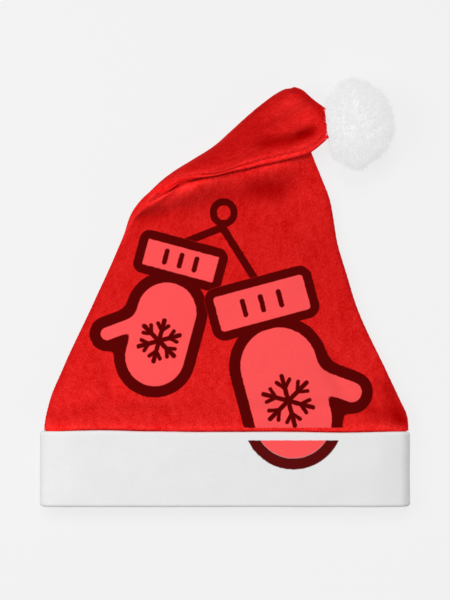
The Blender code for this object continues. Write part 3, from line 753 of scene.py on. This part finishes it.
class Surface:
    """The node tree of one material."""

    def __init__(self, name):
        self.material = bpy.data.materials.new(name)
        self.material.use_nodes = True
        self.tree = self.material.node_tree
        self.shader = self.tree.nodes["Principled BSDF"]

    def node(self, kind, settings=None, values=None, output=0):
        """Adds a node, sets its settings and then its sockets, and returns one of its outputs."""
        node = self.tree.nodes.new(kind)
        for key, value in (settings or {}).items():
            setattr(node, key, value)
        for key, value in (values or {}).items():
            if isinstance(value, Field):
                self.tree.links.new(value.socket, node.inputs[key])
            else:
                node.inputs[key].default_value = value
        return Field(self, node.outputs[output])

    def split(self, vector):
        return [self.node("ShaderNodeSeparateXYZ", None, {0: vector}, k) for k in range(3)]

    def joined(self, x, y, z=0.0):
        return self.node("ShaderNodeCombineXYZ", None, {0: x, 1: y, 2: z})

    def mix(self, share, first, second):
        values = {0: share, 6: self.colour(first), 7: self.colour(second)}
        return self.node("ShaderNodeMix", {"data_type": "RGBA"}, values, 2)

    def colour(self, value):
        return value if isinstance(value, Field) or len(value) == 4 else (*value, 1.0)

    def with_painted_light(self, colour, tone):
        """Red cloth made darker and deeper by painted shade, and brighter and paler by painted highlight.
        """
        deeper = tone * PAINTED_LIGHT_DEPTH + 1.0
        change = self.joined(tone + 1.0, deeper, deeper)
        return self.node("ShaderNodeVectorMath", {"operation": "MULTIPLY"}, {0: colour, 1: change})

    def noise(self, vector, scale, detail=3.0, roughness=0.55):
        values = {"Vector": vector, "Scale": scale, "Detail": detail, "Roughness": roughness}
        return self.node("ShaderNodeTexNoise", None, values)

    def cloth(self):
        """Place on the cloth in metres: across the panel and along it."""
        return self.node("ShaderNodeUVMap", {"uv_map": "cloth"})

    def place(self):
        return self.node("ShaderNodeTexCoord", None, None, 3)

    def bump(self, height, distance, strength=1.0):
        values = {"Height": height, "Distance": distance, "Strength": strength}
        return self.node("ShaderNodeBump", None, values)

    def glow(self, strength):
        """An even white glow, for the light that reaches an object from all round it."""
        self.shader.inputs["Emission Color"].default_value = (*WHITE, 1.0)
        self.shader.inputs["Emission Strength"].default_value = strength

    def finish(self, colour, roughness, normal=None, sheen=0.0, tint=WHITE, specular=0.1):
        """Feeds the shader and returns the finished material."""
        sockets = self.shader.inputs
        for key, value in (("Base Color", colour), ("Roughness", roughness), ("Normal", normal)):
            if isinstance(value, Field):
                self.tree.links.new(value.socket, sockets[key])
            elif value is not None:
                sockets[key].default_value = value
        sockets["Sheen Weight"].default_value = sheen
        sockets["Sheen Roughness"].default_value = SHEEN_ROUGHNESS
        sockets["Sheen Tint"].default_value = (*tint, 1.0)
        sockets["Specular IOR Level"].default_value = specular
        return self.material


# The print is two mittens on a cord: each has a middle, a turn, the side of its thumb and a size. The
# second reaches on to the band.
MITTENS = (
    ((-0.0488, 0.1125), math.radians(-15), -1, 0.89),
    ((0.0460, 0.0680), math.radians(15), 1, 1.08),
)
# An upright mitten of size one about its own middle: strokes with their radii, the cuff as a box with
# its middle, half sizes and corner, and the snow crystal on the palm.
PALM, PALM_RADIUS = ((0.0, 0.014), (0.0, -0.026)), 0.036
THUMB, THUMB_RADIUS = ((0.018, 0.002), (0.046, -0.018)), 0.0155
HAND_BLEND = 0.010
CUFF, CUFF_CORNER = ((0.0, 0.061), (0.040, 0.0195)), 0.009
CUFF_TOP = 0.078
RIBS = (((0.0, 0.056), (0.0, 0.066)), ((0.0135, 0.056), (0.0135, 0.066)))
CRYSTAL_MIDDLE, CRYSTAL_REACH = ((0.0, -0.012),), 0.0185
# The crystal's arms, and the twigs on them as shares of its reach.
ARM_COUNT = 6
ARM_TURN = 30
TWIG = ((0.50, 0.0), (0.80, 0.26))
# Strokes that don't change with the mitten's size.
RIB_RADIUS, ARM_RADIUS, TWIG_RADIUS = 0.0019, 0.0018, 0.0015
CORD_TOP, CORD_RADIUS = (-0.002, 0.191), 0.0030
CORD_LOOP = ((-0.001, 0.2020), (-0.001, 0.2030))
LOOP_RADIUS, LOOP_HALF = 0.0080, 0.0028
PRINT_LINE = 0.0088
CUFF_LINE = 0.8  # the cuff's outline as a share of the hand's
PRINT_SOFT = 0.0007
PRINT_STOPS = 0.0345  # the crown's print stops this far above the band's middle
PRINT_STARTS = 0.0248  # and the band's starts again here
WOBBLE_PITCH = 320.0
WOBBLE = (0.0009, 0.0008)  # how far the nap blurs the print's edges, across and along


def scaled(places, size, side=1):
    """Places on a mitten of size one, for a mitten of that size with its thumb on that side."""
    return [(side * x * size, y * size) for x, y in places]


class MittenPrint:
    """Distances, in metres, to a pair of printed mittens on a cord."""

    def __init__(self, surface):
        x, y, _ = surface.split(surface.place())
        wobble = surface.noise(surface.place(), WOBBLE_PITCH, detail=2.0) - 0.5
        self.x = x + wobble * WOBBLE[0]
        self.y = y + wobble * WOBBLE[1]

    def capsule(self, x, y, start, end, radius):
        """Distance to a round-ended stroke between two points."""
        run = (end[0] - start[0], end[1] - start[1])
        square = run[0] ** 2 + run[1] ** 2
        from_x, from_y = x - start[0], y - start[1]
        share = ((from_x * run[0] + from_y * run[1]) / square).clamped()
        aside_x, aside_y = from_x - share * run[0], from_y - share * run[1]
        return (aside_x * aside_x + aside_y * aside_y).sqrt() - radius

    def box(self, x, y, centre, half, corner):
        """Distance to an upright box with rounded corners."""
        out_x = (abs(x - centre[0]) - (half[0] - corner)).most(0.0)
        out_y = (abs(y - centre[1]) - (half[1] - corner)).most(0.0)
        return (out_x * out_x + out_y * out_y).sqrt() - corner

    def crystal(self, x, y, centre, reach):
        """Distance to a snow crystal of plain strokes; its arms lie in pairs across its middle."""
        strokes = []
        for arm in range(ARM_COUNT // 2):
            angle = math.radians(360 / ARM_COUNT * arm + ARM_TURN)
            cos, sin = math.cos(angle), math.sin(angle)
            along = abs((x - centre[0]) * cos + (y - centre[1]) * sin)
            aside = abs((y - centre[1]) * cos - (x - centre[0]) * sin)
            strokes.append(self.capsule(along, aside, (0.0, 0.0), (reach, 0.0), ARM_RADIUS))
            strokes.append(self.capsule(along, aside, *scaled(TWIG, reach), TWIG_RADIUS))
        return nearest(strokes)

    def cord(self, centre, angle, size):
        """Distance to the cord that one mitten hangs by."""
        top = CUFF_TOP * size
        end = (centre[0] - top * math.sin(angle), centre[1] + top * math.cos(angle))
        return self.capsule(self.x, self.y, CORD_TOP, end, CORD_RADIUS)

    def mitten(self, centre, angle, side, size):
        """Distances to one mitten's hand and cuff, and to the ribs and the crystal drawn in them."""
        cos, sin = math.cos(angle), math.sin(angle)
        x, y = self.x - centre[0], self.y - centre[1]
        x, y = x * cos + y * sin, y * cos - x * sin
        palm = self.capsule(x, y, *scaled(PALM, size), PALM_RADIUS * size)
        thumb = self.capsule(x, y, *scaled(THUMB, size, side), THUMB_RADIUS * size)
        cuff = self.box(x, y, *scaled(CUFF, size), CUFF_CORNER * size)
        ribs = nearest([self.capsule(abs(x), y, *scaled(rib, size), RIB_RADIUS) for rib in RIBS])
        star = self.crystal(x, y, *scaled(CRYSTAL_MIDDLE, size), CRYSTAL_REACH * size)
        return palm.blended(thumb, HAND_BLEND * size), cuff, ribs, star


def nearest(distances):
    """The least of several distances at each place."""
    least = distances[0]
    for distance in distances[1:]:
        least = least.least(distance)
    return least


def mitten_masks(surface):
    """The print's height on the hat, and masks of its fill and of its lines."""
    design = MittenPrint(surface)
    ring = abs(design.capsule(design.x, design.y, *CORD_LOOP, LOOP_RADIUS)) - LOOP_HALF
    lines, fill = ring.below(0.0, PRINT_SOFT), None
    for centre, angle, side, size in MITTENS:
        lines = lines.most(design.cord(centre, angle, size).below(0.0, PRINT_SOFT))
        hand, cuff, ribs, star = design.mitten(centre, angle, side, size)
        cuff_whole = cuff.below(0.0, PRINT_SOFT)
        whole = hand.below(0.0, PRINT_SOFT).most(cuff_whole)
        palm_fill = hand.below(-PRINT_LINE, PRINT_SOFT) * (1 - star.below(0.0, PRINT_SOFT))
        cuff_fill = cuff.below(-CUFF_LINE * PRINT_LINE, PRINT_SOFT) * (1 - ribs.below(0.0, PRINT_SOFT))
        inside = (palm_fill * (1 - cuff_whole)).most(cuff_fill)
        lines = (lines * (1 - whole)).most(whole * (1 - inside))
        fill = inside if fill is None else (fill * (1 - whole)).most(inside)
    return design.y, fill, lines


def printed(surface, base):
    """Lays the mitten print over a cloth's colour."""
    colours = bpy.context.scene.hat_colours
    y, fill, lines = mitten_masks(surface)
    shown = (1 - y.below(PRINT_STOPS, PRINT_SOFT)).most(y.below(PRINT_STARTS, PRINT_SOFT))
    filled = surface.mix(fill * shown, base, tuple(colours.print_fill))
    return surface.mix(lines * shown, filled, tuple(colours.print_line))


def shades(colour, dark, light):
    """A colour's darker and lighter shades, neither above white."""
    return tuple(c * dark for c in colour), tuple(min(1.0, c * light) for c in colour)


FLEECE_NOISES = (
    # features to a metre across the cloth, and along it, detail, roughness
    (760.0, 380.0, 4.0, 0.65),  # streaks
    (820.0, 640.0, 4.0, 0.7),  # grain
    (210.0, 150.0, 2.0, 0.5),  # tufts
    (52.0, 36.0, 3.0, 0.55),  # clouds
)
# Red, green and blue of the nap's roots and of its tips, as shares of the fleece's colour.
ROOT_SHARES = (0.78, 0.05, 0.05)
TIP_SHARES = (1.20, 4.2, 4.2)
STREAK_SHARE = 0.3  # the rest of the nap's fine variation is grain
FINE_CONTRAST, TUFT_CONTRAST, CLOUD_CONTRAST = 2.9, 0.8, 0.7
# The deepest painted shade that the folds lay on the fleece.
DARKEST_PAINTED_SHADE = -0.46
SHEEN_TINT = (1.0, 0.16, 0.15)
# Painted light: the pile's even white glow, for the light that scatters through it.
PILE_PAINTED_GLOW = 0.53
GROUND_GLOW = 0.786


def fleece(name, with_print):
    """Short brushed nap in deep red, with streaks down the cloth."""
    surface = Surface(name)
    red = bpy.context.scene.hat_colours.fleece
    across, along, _ = surface.split(surface.cloth())
    streaks, grain, tufts, clouds = (
        surface.noise(surface.joined(across * wide, along * long), 1.0, detail, roughness)
        for wide, long, detail, roughness in FLEECE_NOISES
    )
    nap = (streaks * STREAK_SHARE + grain * (1 - STREAK_SHARE)).swing(FINE_CONTRAST)
    nap = (nap + tufts.swing(TUFT_CONTRAST) + clouds.swing(CLOUD_CONTRAST) + 0.5).clamped()
    roots, tips = (tuple(c * k for c, k in zip(red, shares)) for shares in (ROOT_SHARES, TIP_SHARES))
    # Painted shade and highlight of the folds, read from the tone attribute.
    fold = surface.node("ShaderNodeAttribute", {"attribute_name": "tone"}, None, 2)
    colour = surface.with_painted_light(surface.mix(nap, roots, tips), fold.most(DARKEST_PAINTED_SHADE))
    if with_print:
        colour = printed(surface, colour)
    normal = surface.bump(streaks * 0.6 + grain * 0.7, distance=0.0011, strength=0.75)
    roughness = grain * 0.12 + 0.86
    return surface.finish(colour, roughness, normal, sheen=0.10, tint=SHEEN_TINT, specular=0.02)


def plush(name, with_print):
    """Dense short white pile."""
    surface = Surface(name)
    tufts = surface.noise(surface.place(), scale=1300.0, detail=4.0, roughness=0.6)
    clouds = surface.noise(surface.place(), scale=45.0, detail=3.0, roughness=0.5)
    tone = (tufts.swing(0.8) + clouds.swing(0.6) + 0.5).clamped()
    colour = surface.mix(tone, *shades(bpy.context.scene.hat_colours.plush, dark=0.94, light=1.06))
    if with_print:
        colour = printed(surface, colour)
    normal = surface.bump(tufts, distance=0.0006, strength=0.5)
    return surface.finish(colour, tufts * 0.08 + 0.90, normal, sheen=0.15)


def pile(name):
    """Long soft white pile with painted shade, a little darker towards its roots, and a painted glow for
    the light that scatters through it.
    """
    surface = Surface(name)
    fibre, _, _ = surface.split(surface.cloth())
    clumps = surface.noise(surface.place(), scale=160.0, detail=2.0)
    # Painted shade deep in the pile, darker towards the strands' roots, with random clumps.
    tone = (fibre * 1.1 + clumps.swing(0.3)).clamped()
    colour = surface.mix(tone, *shades(bpy.context.scene.hat_colours.pile, dark=0.97, light=1.05))
    # The pile glows white as painted light, though it is no lamp.
    surface.glow(PILE_PAINTED_GLOW)
    return surface.finish(colour, roughness=0.95, sheen=0.05)


def floor_paper():
    """Plain pale ground with the faintest tooth."""
    surface = Surface("pale_ground")
    tooth = surface.noise(surface.place(), scale=900.0, detail=2.0)
    colour = surface.mix(tooth, *shades(bpy.context.scene.hat_colours.floor, dark=0.99, light=1.0))
    surface.glow(GROUND_GLOW)
    return surface.finish(colour, roughness=0.9, specular=0.0)


def materials():
    """The finishes that several pieces share, made once."""
    made = bpy.data.materials
    if "fleece_printed" not in made:
        fleece("fleece_printed", True)
        fleece("fleece_plain", False)
        plush("plush_printed", True)
        plush("plush_plain", False)
        pile("pompom_pile")
    return made


def panel_rows(form, panel):
    """Each row of a crown panel: its points, their normals and distances from its first seam, its
    width, how far along the cloth it lies, and how far on it is towards the fold's full lips."""
    plain_rows = HEM_ROWS + RIM_ROWS + BODY_ROWS - LIP_RUN
    along, previous = 0.0, None
    for row, (loop, shift) in enumerate(zip(*form.crown_loops())):
        _, lengths, _ = loop_frame(loop)
        right_seam, left_seam = lengths[LOOP_SAMPLES - 1], lengths[-1] - shift
        start, end = (-shift, right_seam) if panel == "front" else (right_seam, left_seam)
        start, end = start + form.sizes.clearance / 2, end - form.sizes.clearance / 2
        columns = panel_columns(end - start)
        point, normal = sampled(loop, start + columns)
        middle = point[len(point) // 2]
        along += 0.0 if previous is None else float(np.linalg.norm(middle - previous))
        previous = middle
        past = float(smoothed((row - plain_rows) / LIP_RUN))
        yield point, normal, columns, end - start, along, past


def panel_surface(form, panel):
    """Outer and inner faces of one crown panel as grids, with places on the cloth and the painted shade
    and highlight of its outer face.
    """
    sizes = form.sizes
    outer, inner, cloth, beside, pale = [], [], [], [], []
    for point, normal, columns, width, along, past in panel_rows(form, panel):
        from_seam = np.minimum(columns, columns[-1] - columns)
        away = swell(from_seam, DENT_CLEAR * width)
        pucker = 1 + PUCKER * math.cos(math.tau * along / sizes.stitch)
        pucker *= 1 - SEAM_LOSS * past
        drop = sizes.lip_drop * pucker * np.maximum(1 - from_seam / sizes.lip, 0.0) ** 2
        bead = hump(from_seam - BEAD_AT * sizes.lip, BEAD_REACH * sizes.lip)
        drop -= past * sizes.lip_bead * bead
        outer.append(form.folded(dented(point - drop[:, None] * normal, panel, away, form)))
        inner.append(form.folded(dented(point - sizes.cloth * normal, panel, away, form)))
        cloth.append(np.column_stack([columns - width / 2, np.full(len(columns), along)]))
        beside.append(from_seam)
        # Painted highlight on the lips beside the folded seam.
        pale.append(past * LIP_PAINTED_HIGHLIGHT * hump(from_seam, LIP_HIGHLIGHT_REACH))
    outer, inner = np.array(outer), np.array(inner)
    y = outer[..., 1]
    # Painted highlight just above the band, lightening the shade in the groove under its rim.
    pale = np.array(pale) + HEM_PAINTED_HIGHLIGHT * hump(y - form.band_top - HEM_HIGHLIGHT_RISE, HEM_HIGHLIGHT_REACH)
    # The folds lower the cloth and lay their painted shade and highlight on it.
    lowered, tone = panel_creases(outer, panel)
    gathers = uneven(outer * GATHERS_STRETCH, HEM_GATHERS) * hump(y - GATHERS_LEVEL, GATHERS_REACH)
    outer[..., 2] -= lowered + gathers
    inner[..., 2] -= lowered
    return outer, inner, np.array(cloth), np.array(beside), tone + pale


def panel_creases(outer, panel):
    """The folds of one panel and their painted light; the front's have a part before the fold's middle and
    one past it.
    """
    normals = grid_normals(outer)
    if panel == "back":
        return creases_and_painted_light(outer, normals, "back")
    turn = HEM_ROWS + RIM_ROWS + BODY_ROWS + FOLD_ROWS // 2
    body = creases_and_painted_light(outer[:turn], normals[:turn], "front")
    strip = creases_and_painted_light(outer[turn:], normals[turn:], "strip")
    return (np.concatenate(pair) for pair in zip(body, strip))


class HAT_OT_crown(bpy.types.Operator):
    """Model the crown's front and back fleece panels, with the fold, the seams and the dents"""

    bl_idname = "hat.crown"
    bl_label = "Crown"

    def execute(self, context):
        form = HatForm(context.scene.hat_sizes)
        made = materials()
        for panel in ("front", "back"):
            outer, inner, cloth, beside, tone = panel_surface(form, panel)
            nap = uneven(outer, CROWN_NAP) * np.minimum(beside / NAP_CLEAR, 1.0)
            outer = waved(outer + grid_normals(outer) * nap[..., None])
            inner = waved(inner)
            outer[..., 2] = np.maximum(outer[..., 2], 0.0)
            vertices, faces, outside = shell(outer, inner)
            slots = np.zeros(len(faces), int)
            slots[outside:] = 1
            uvs = np.vstack([cloth.reshape(-1, 2), cloth.reshape(-1, 2)])
            first = "fleece_printed" if panel == "front" else "fleece_plain"
            finishes = (made[first], made["fleece_plain"])  # outside, inside
            # Painted shade and highlight on the outer face only.
            tones = np.concatenate([tone.ravel(), np.zeros(tone.size)])
            piece = new_piece(f"fleece_{panel}", vertices, faces, finishes, slots, uvs, tones)
            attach(piece, "root")
            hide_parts(f"crown_{panel}_panel")
        return {"FINISHED"}


class HAT_OT_band(bpy.types.Operator):
    """Model the plush band, with its rolled rims and short pile"""

    bl_idname = "hat.band"
    bl_label = "Band"

    def execute(self, context):
        sizes = context.scene.hat_sizes
        form = HatForm(sizes)
        made = materials()
        radius = sizes.band_wall / 2
        turns = np.linspace(0, math.pi, RIM_TURNS)
        rim = [(radius - radius * math.sin(t), radius - radius * math.cos(t)) for t in turns]
        height = sizes.band_height - sizes.band_turned
        ends = (RIM_SHARE, 1 - RIM_SHARE)
        inside = [(share * height, sizes.band_wall) for share in np.linspace(*ends, INSIDE_ROWS)]
        top = [(height - along, sizes.band_wall - depth) for along, depth in rim]
        outside = [(share * height, 0.0) for share in np.linspace(*ends[::-1], OUTSIDE_ROWS)]
        rings, cloth = [], []
        for along, depth in rim + inside + top + outside:
            loop = form.band_loop(form.band_top - height + along)
            _, lengths, _ = loop_frame(loop)
            at = np.linspace(0, lengths[-1], BAND_COLUMNS + 1)[:-1]
            point, normal = sampled(loop, at)
            rings.append(point - depth * normal)
            cloth.append(np.column_stack([at, np.full(len(at), along)]))
        grid = np.array(rings)
        rows, columns, _ = grid.shape
        closed = np.concatenate([grid[-1:], grid, grid[:1]])
        closed = np.concatenate([closed[:, -1:], closed, closed[:, :1]], axis=1)
        normal = grid_normals(closed)[1:-1, 1:-1]
        grid = waved(grid + normal * uneven(grid, BAND_LUMPS)[..., None])
        grid[..., 2] = np.maximum(grid[..., 2], 0.0)
        index = np.arange(rows * columns).reshape(rows, columns)
        down, over = np.roll(index, -1, 0), np.roll(index, -1, 1)
        faces = np.stack([index, over, np.roll(down, -1, 1), down], -1).reshape(-1, 4)
        inner = np.zeros((rows, columns), int)
        half_rim = RIM_TURNS // 2
        inner[half_rim : RIM_TURNS + INSIDE_ROWS + half_rim] = 1
        uvs = np.array(cloth).reshape(-1, 2)
        finishes = (made["plush_printed"], made["plush_plain"])
        slots = np.where(grid[..., 2] < sizes.band_thickness / 2, 1, inner).ravel()
        piece = new_piece("band_plush", grid.reshape(-1, 3), faces.tolist(), finishes, slots, uvs)
        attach(piece, "root")
        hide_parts("plush_band")
        return {"FINISHED"}


STRAND_SIDES = 3
# Rings of a strand: share of its length, and size as a share of its radius.
STRAND_RINGS = ((0.0, 1.0), (0.5, 0.9), (0.85, 0.55))
UPRIGHT = 0.9  # a strand steeper than this takes its sides from the X axis and not from Z
CORE_SHARE = 0.88  # the core's size as a share of the outline
# Tufts and curls of the core: how many there are to its half size, and their height as a share of it.
TUFT_PITCH, CURL_PITCH = 3.1, 14.0
TUFT_SHIFT = Vector((0.4, 0.1, 0.7))
TUFT_HEIGHT, CURL_HEIGHT = 0.075, 0.012
TUFT_MOST = 0.5  # a tuft is level on top
ROOT_DEPTH = 0.03  # share of the half size that the strands start below the core's face
LOCK_SPREAD = 0.075  # how far the roots of a lock stray from its middle
LOCK_LEAN, STRAND_LEAN = 0.07, 0.05  # how far the tips of a whole lock and of one strand lean
STRAND_REACH = (0.07, 0.15)  # shares of the half size that the strands stand out
STRAND_BEND = 0.0013
STRAND_RADII = (0.00013, 0.00024)
STRAND_DRAW = 11  # which draw of the strands
NECK_EDGE = (-0.0012, 0.0006)  # where the strands stop round the neck, measured along it
FLOOR_PILE, FLOOR_SPREAD = 0.0004, 0.0003  # height of the pressed pile, and its rise to the tips
CORE_FIBRE = 0.35  # share of the strands' length whose colour, painted shade included, the core has
CORE_DIVISIONS = 6


def strands(roots, tips, bends, radii):
    """Pointed strands as vertex and face arrays, with their length as the first UV."""
    count = len(roots)
    axis = unit(tips - roots)
    side = np.cross(axis, np.where(np.abs(axis[:, 2:]) < UPRIGHT, (0.0, 0.0, 1.0), (1.0, 0.0, 0.0)))
    side = unit(side)
    other = np.cross(axis, side)
    points, shares = [], []
    for along, size in STRAND_RINGS:
        centre = roots + (tips - roots) * along + bends * along**2
        for k in range(STRAND_SIDES):
            turn = math.tau * k / STRAND_SIDES
            spoke = side * math.cos(turn) + other * math.sin(turn)
            points.append(centre + spoke * (radii * size)[:, None])
            shares.append(np.full(count, along))
    points.append(tips + bends)
    shares.append(np.ones(count))
    vertices = np.stack(points, axis=1)
    per_strand = vertices.shape[1]
    base = np.arange(count)[:, None] * per_strand
    sides, ends = [], []
    for ring in range(0, per_strand - 1, STRAND_SIDES):
        for k in range(STRAND_SIDES):
            here, beside = ring + k, ring + (k + 1) % STRAND_SIDES
            if ring + STRAND_SIDES < per_strand - 1:
                sides.append(base + np.array([[here, beside, beside + STRAND_SIDES, here + STRAND_SIDES]]))
            else:
                ends.append(base + np.array([[here, beside, per_strand - 1]]))
    faces = np.concatenate(sides).tolist() + np.concatenate(ends).tolist()
    uvs = np.stack([np.stack(shares, axis=1), np.zeros((count, per_strand))], axis=-1)
    return vertices.reshape(-1, 3), faces, uvs.reshape(-1, 2)


def pompom_reach(ways):
    """The outline's share for each direction, easing to one towards the top and the bottom."""
    angles, shares = np.array(POMPOM_OUTLINE).T
    turn = np.degrees(np.arctan2(ways[..., 1], ways[..., 0])) % 360
    share = np.interp(turn, angles, shares, period=360)
    return 1 + (share - 1) * (1 - ways[..., 2] ** 2)


def pompom_lumps(ways):
    """Shares by which the tufts of pile stand out or lie in, for each direction."""
    found = []
    for way in ways:
        distances, _ = noise.voronoi(Vector(way) * TUFT_PITCH + TUFT_SHIFT)
        tuft = min(distances[1] - distances[0], TUFT_MOST) - TUFT_MOST / 2
        found.append(TUFT_HEIGHT * tuft + CURL_HEIGHT * noise.noise(Vector(way) * CURL_PITCH))
    return np.array(found)


def core_height(ways):
    """The core's size in each direction, as a share of the pompom's half size."""
    return pompom_reach(ways) * (CORE_SHARE + pompom_lumps(ways))


def sphere_ways(count):
    """Evenly spread directions."""
    k = np.arange(count)
    up = 1 - 2 * (k + 0.5) / count
    turn = k * math.pi * (3 - math.sqrt(5))
    level = np.sqrt(1 - up**2)
    return np.column_stack([level * np.cos(turn), level * np.sin(turn), up])


class HAT_OT_pompom(bpy.types.Operator):
    """Model the pompom: a lumpy core and locks of long pile, pressed flat where it lies"""

    bl_idname = "hat.pompom"
    bl_label = "Pompom"

    def execute(self, context):
        sizes = context.scene.hat_sizes
        form = HatForm(sizes)
        made = materials()
        centre = form.pompom_centre()
        half = np.array(sizes.pompom_size) / 2
        core = self.core(centre, half, made)
        draws = np.random.default_rng(STRAND_DRAW)
        count = sizes.locks * sizes.strands_per_lock
        lock = np.repeat(np.arange(sizes.locks), sizes.strands_per_lock)
        root_way = unit(sphere_ways(sizes.locks)[lock] + draws.normal(0, LOCK_SPREAD, (count, 3)))
        lean = draws.normal(0, LOCK_LEAN, (sizes.locks, 3))[lock]
        lean = lean + draws.normal(0, STRAND_LEAN, (count, 3))
        tip_way = unit(root_way + lean)
        height = core_height(root_way)
        roots = centre + root_way * half * (height - ROOT_DEPTH)[:, None]
        length = draws.uniform(*STRAND_REACH, count)
        tips = centre + tip_way * half * (height + length)[:, None]
        bends = draws.normal(0, STRAND_BEND, (count, 3))
        radii = draws.uniform(*STRAND_RADII, count)
        neck, onward = form.neck()
        kept = (tips[:, :2] - neck[:2]) @ onward > draws.uniform(*NECK_EDGE, count)
        vertices, faces, uvs = strands(roots[kept], tips[kept], bends[kept], radii[kept])
        pressed = FLOOR_PILE + FLOOR_SPREAD * uvs[:, 0]
        vertices[:, 2] = np.where(vertices[:, 2] < FLOOR_PILE, pressed, vertices[:, 2])
        piece = new_piece("pompom_locks", vertices, faces, (made["pompom_pile"],), None, uvs)
        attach(piece, "root")
        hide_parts("pompom")
        return {"FINISHED"}

    def core(self, centre, half, made):
        """The dense middle of the pile."""
        bpy.ops.mesh.primitive_ico_sphere_add(subdivisions=CORE_DIVISIONS, radius=1)
        core = bpy.context.object
        core.name = "pompom_core"
        core.data.name = "pompom_core"
        ways = np.array([vertex.co.normalized() for vertex in core.data.vertices])
        places = centre + ways * half * core_height(ways)[:, None]
        places[:, 2] = np.maximum(places[:, 2], 0.0)
        core.data.vertices.foreach_set("co", places.astype(np.float32).ravel())
        core.data.materials.clear()
        core.data.materials.append(made["pompom_pile"])
        core.data.shade_smooth()
        layer = core.data.uv_layers.active
        layer.name = "cloth"
        layer.data.foreach_set("uv", np.full(len(core.data.loops) * 2, CORE_FIBRE, np.float32))
        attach(core, "root")
        return core


CAMERA_HEIGHT = 2.2
VIEW_HEIGHT = 0.4704  # what the picture's height covers, at the cloth's level
VIEW_MIDDLE = (0.0, 0.1341)
VIEW_LEVEL = 0.012
SUN_WAY, SUN_SPREAD, SUN_POWER = (-0.05, 0.42, 0.90), math.radians(28), 1.50
SOFTBOXES = (
    # name, place, size, power
    ("side", (-0.75, 0.25, 1.20), 0.7, 9.2),
    ("fill", (0.95, 0.0, 0.55), 0.5, 1.0),
)
ROOM_LIGHT = 0.18


class HAT_OT_stage(bpy.types.Operator):
    """Lay out the floor, the soft lights and the camera above the hat"""

    bl_idname = "hat.stage"
    bl_label = "Stage"

    def execute(self, context):
        scene = context.scene
        bpy.ops.mesh.primitive_plane_add(size=FLOOR_SIZE, location=(0, 0, -FLOOR_DROP))
        floor = bpy.context.object
        floor.name = "floor"
        floor.data.materials.append(floor_paper())
        self.sun("key", SUN_WAY, SUN_SPREAD, SUN_POWER)
        for softbox in SOFTBOXES:
            self.softbox(*softbox)
        world = bpy.data.worlds.new("studio")
        world.use_nodes = True
        background = world.node_tree.nodes["Background"]
        background.inputs["Color"].default_value = (*WHITE, 1.0)
        background.inputs["Strength"].default_value = ROOM_LIGHT
        scene.world = world
        scene.view_settings.view_transform = "Standard"
        camera = bpy.data.objects.new("camera", bpy.data.cameras.new("camera"))
        camera.data.sensor_fit = "VERTICAL"
        camera.data.lens = camera.data.sensor_height * (CAMERA_HEIGHT - VIEW_LEVEL) / VIEW_HEIGHT
        camera.location = (*VIEW_MIDDLE, CAMERA_HEIGHT)
        scene.collection.objects.link(camera)
        scene.camera = camera
        return {"FINISHED"}

    def sun(self, name, way, spread, power):
        """A far soft light that shines from that way."""
        lamp = bpy.data.lights.new(name, "SUN")
        lamp.angle = spread
        lamp.energy = power
        self.hang(name, lamp, way, Vector(way))

    def softbox(self, name, place, size, power):
        """A square soft box that faces the hat."""
        lamp = bpy.data.lights.new(name, "AREA")
        lamp.size = size
        lamp.energy = power
        self.hang(name, lamp, place, Vector(place) - Vector((*VIEW_MIDDLE, 0.0)))

    def hang(self, name, lamp, place, away):
        light = bpy.data.objects.new(name, lamp)
        light.location = place
        light.rotation_euler = (-away).to_track_quat("-Z", "Y").to_euler()
        bpy.context.scene.collection.objects.link(light)


class HAT_PT_panel(bpy.types.Panel):
    """Lists the hat's steps and its sizes and colours"""

    bl_idname = "HAT_PT_panel"
    bl_label = "Santa hat"
    bl_space_type = "VIEW_3D"
    bl_region_type = "UI"
    bl_category = "Santa hat"

    def draw(self, context):
        for step in OPERATORS:
            self.layout.operator(step.bl_idname)
        for group in (context.scene.hat_sizes, context.scene.hat_colours):
            box = self.layout.box()
            for key in group.bl_rna.properties.keys():
                if key not in ("rna_type", "name"):
                    box.prop(group, key)


OPERATORS = (HAT_OT_crown, HAT_OT_band, HAT_OT_pompom, HAT_OT_stage)
CLASSES = (HatSizes, HatColours, *OPERATORS, HAT_PT_panel)


def register():
    for each in CLASSES:
        bpy.utils.register_class(each)
    bpy.types.Scene.hat_sizes = PointerProperty(type=HatSizes)
    bpy.types.Scene.hat_colours = PointerProperty(type=HatColours)


def unregister():
    del bpy.types.Scene.hat_colours
    del bpy.types.Scene.hat_sizes
    for each in reversed(CLASSES):
        bpy.utils.unregister_class(each)


def main():
    register()
    bpy.ops.hat.crown()
    bpy.ops.hat.band()
    bpy.ops.hat.pompom()
    bpy.ops.hat.stage()


if __name__ == "__main__":
    main()
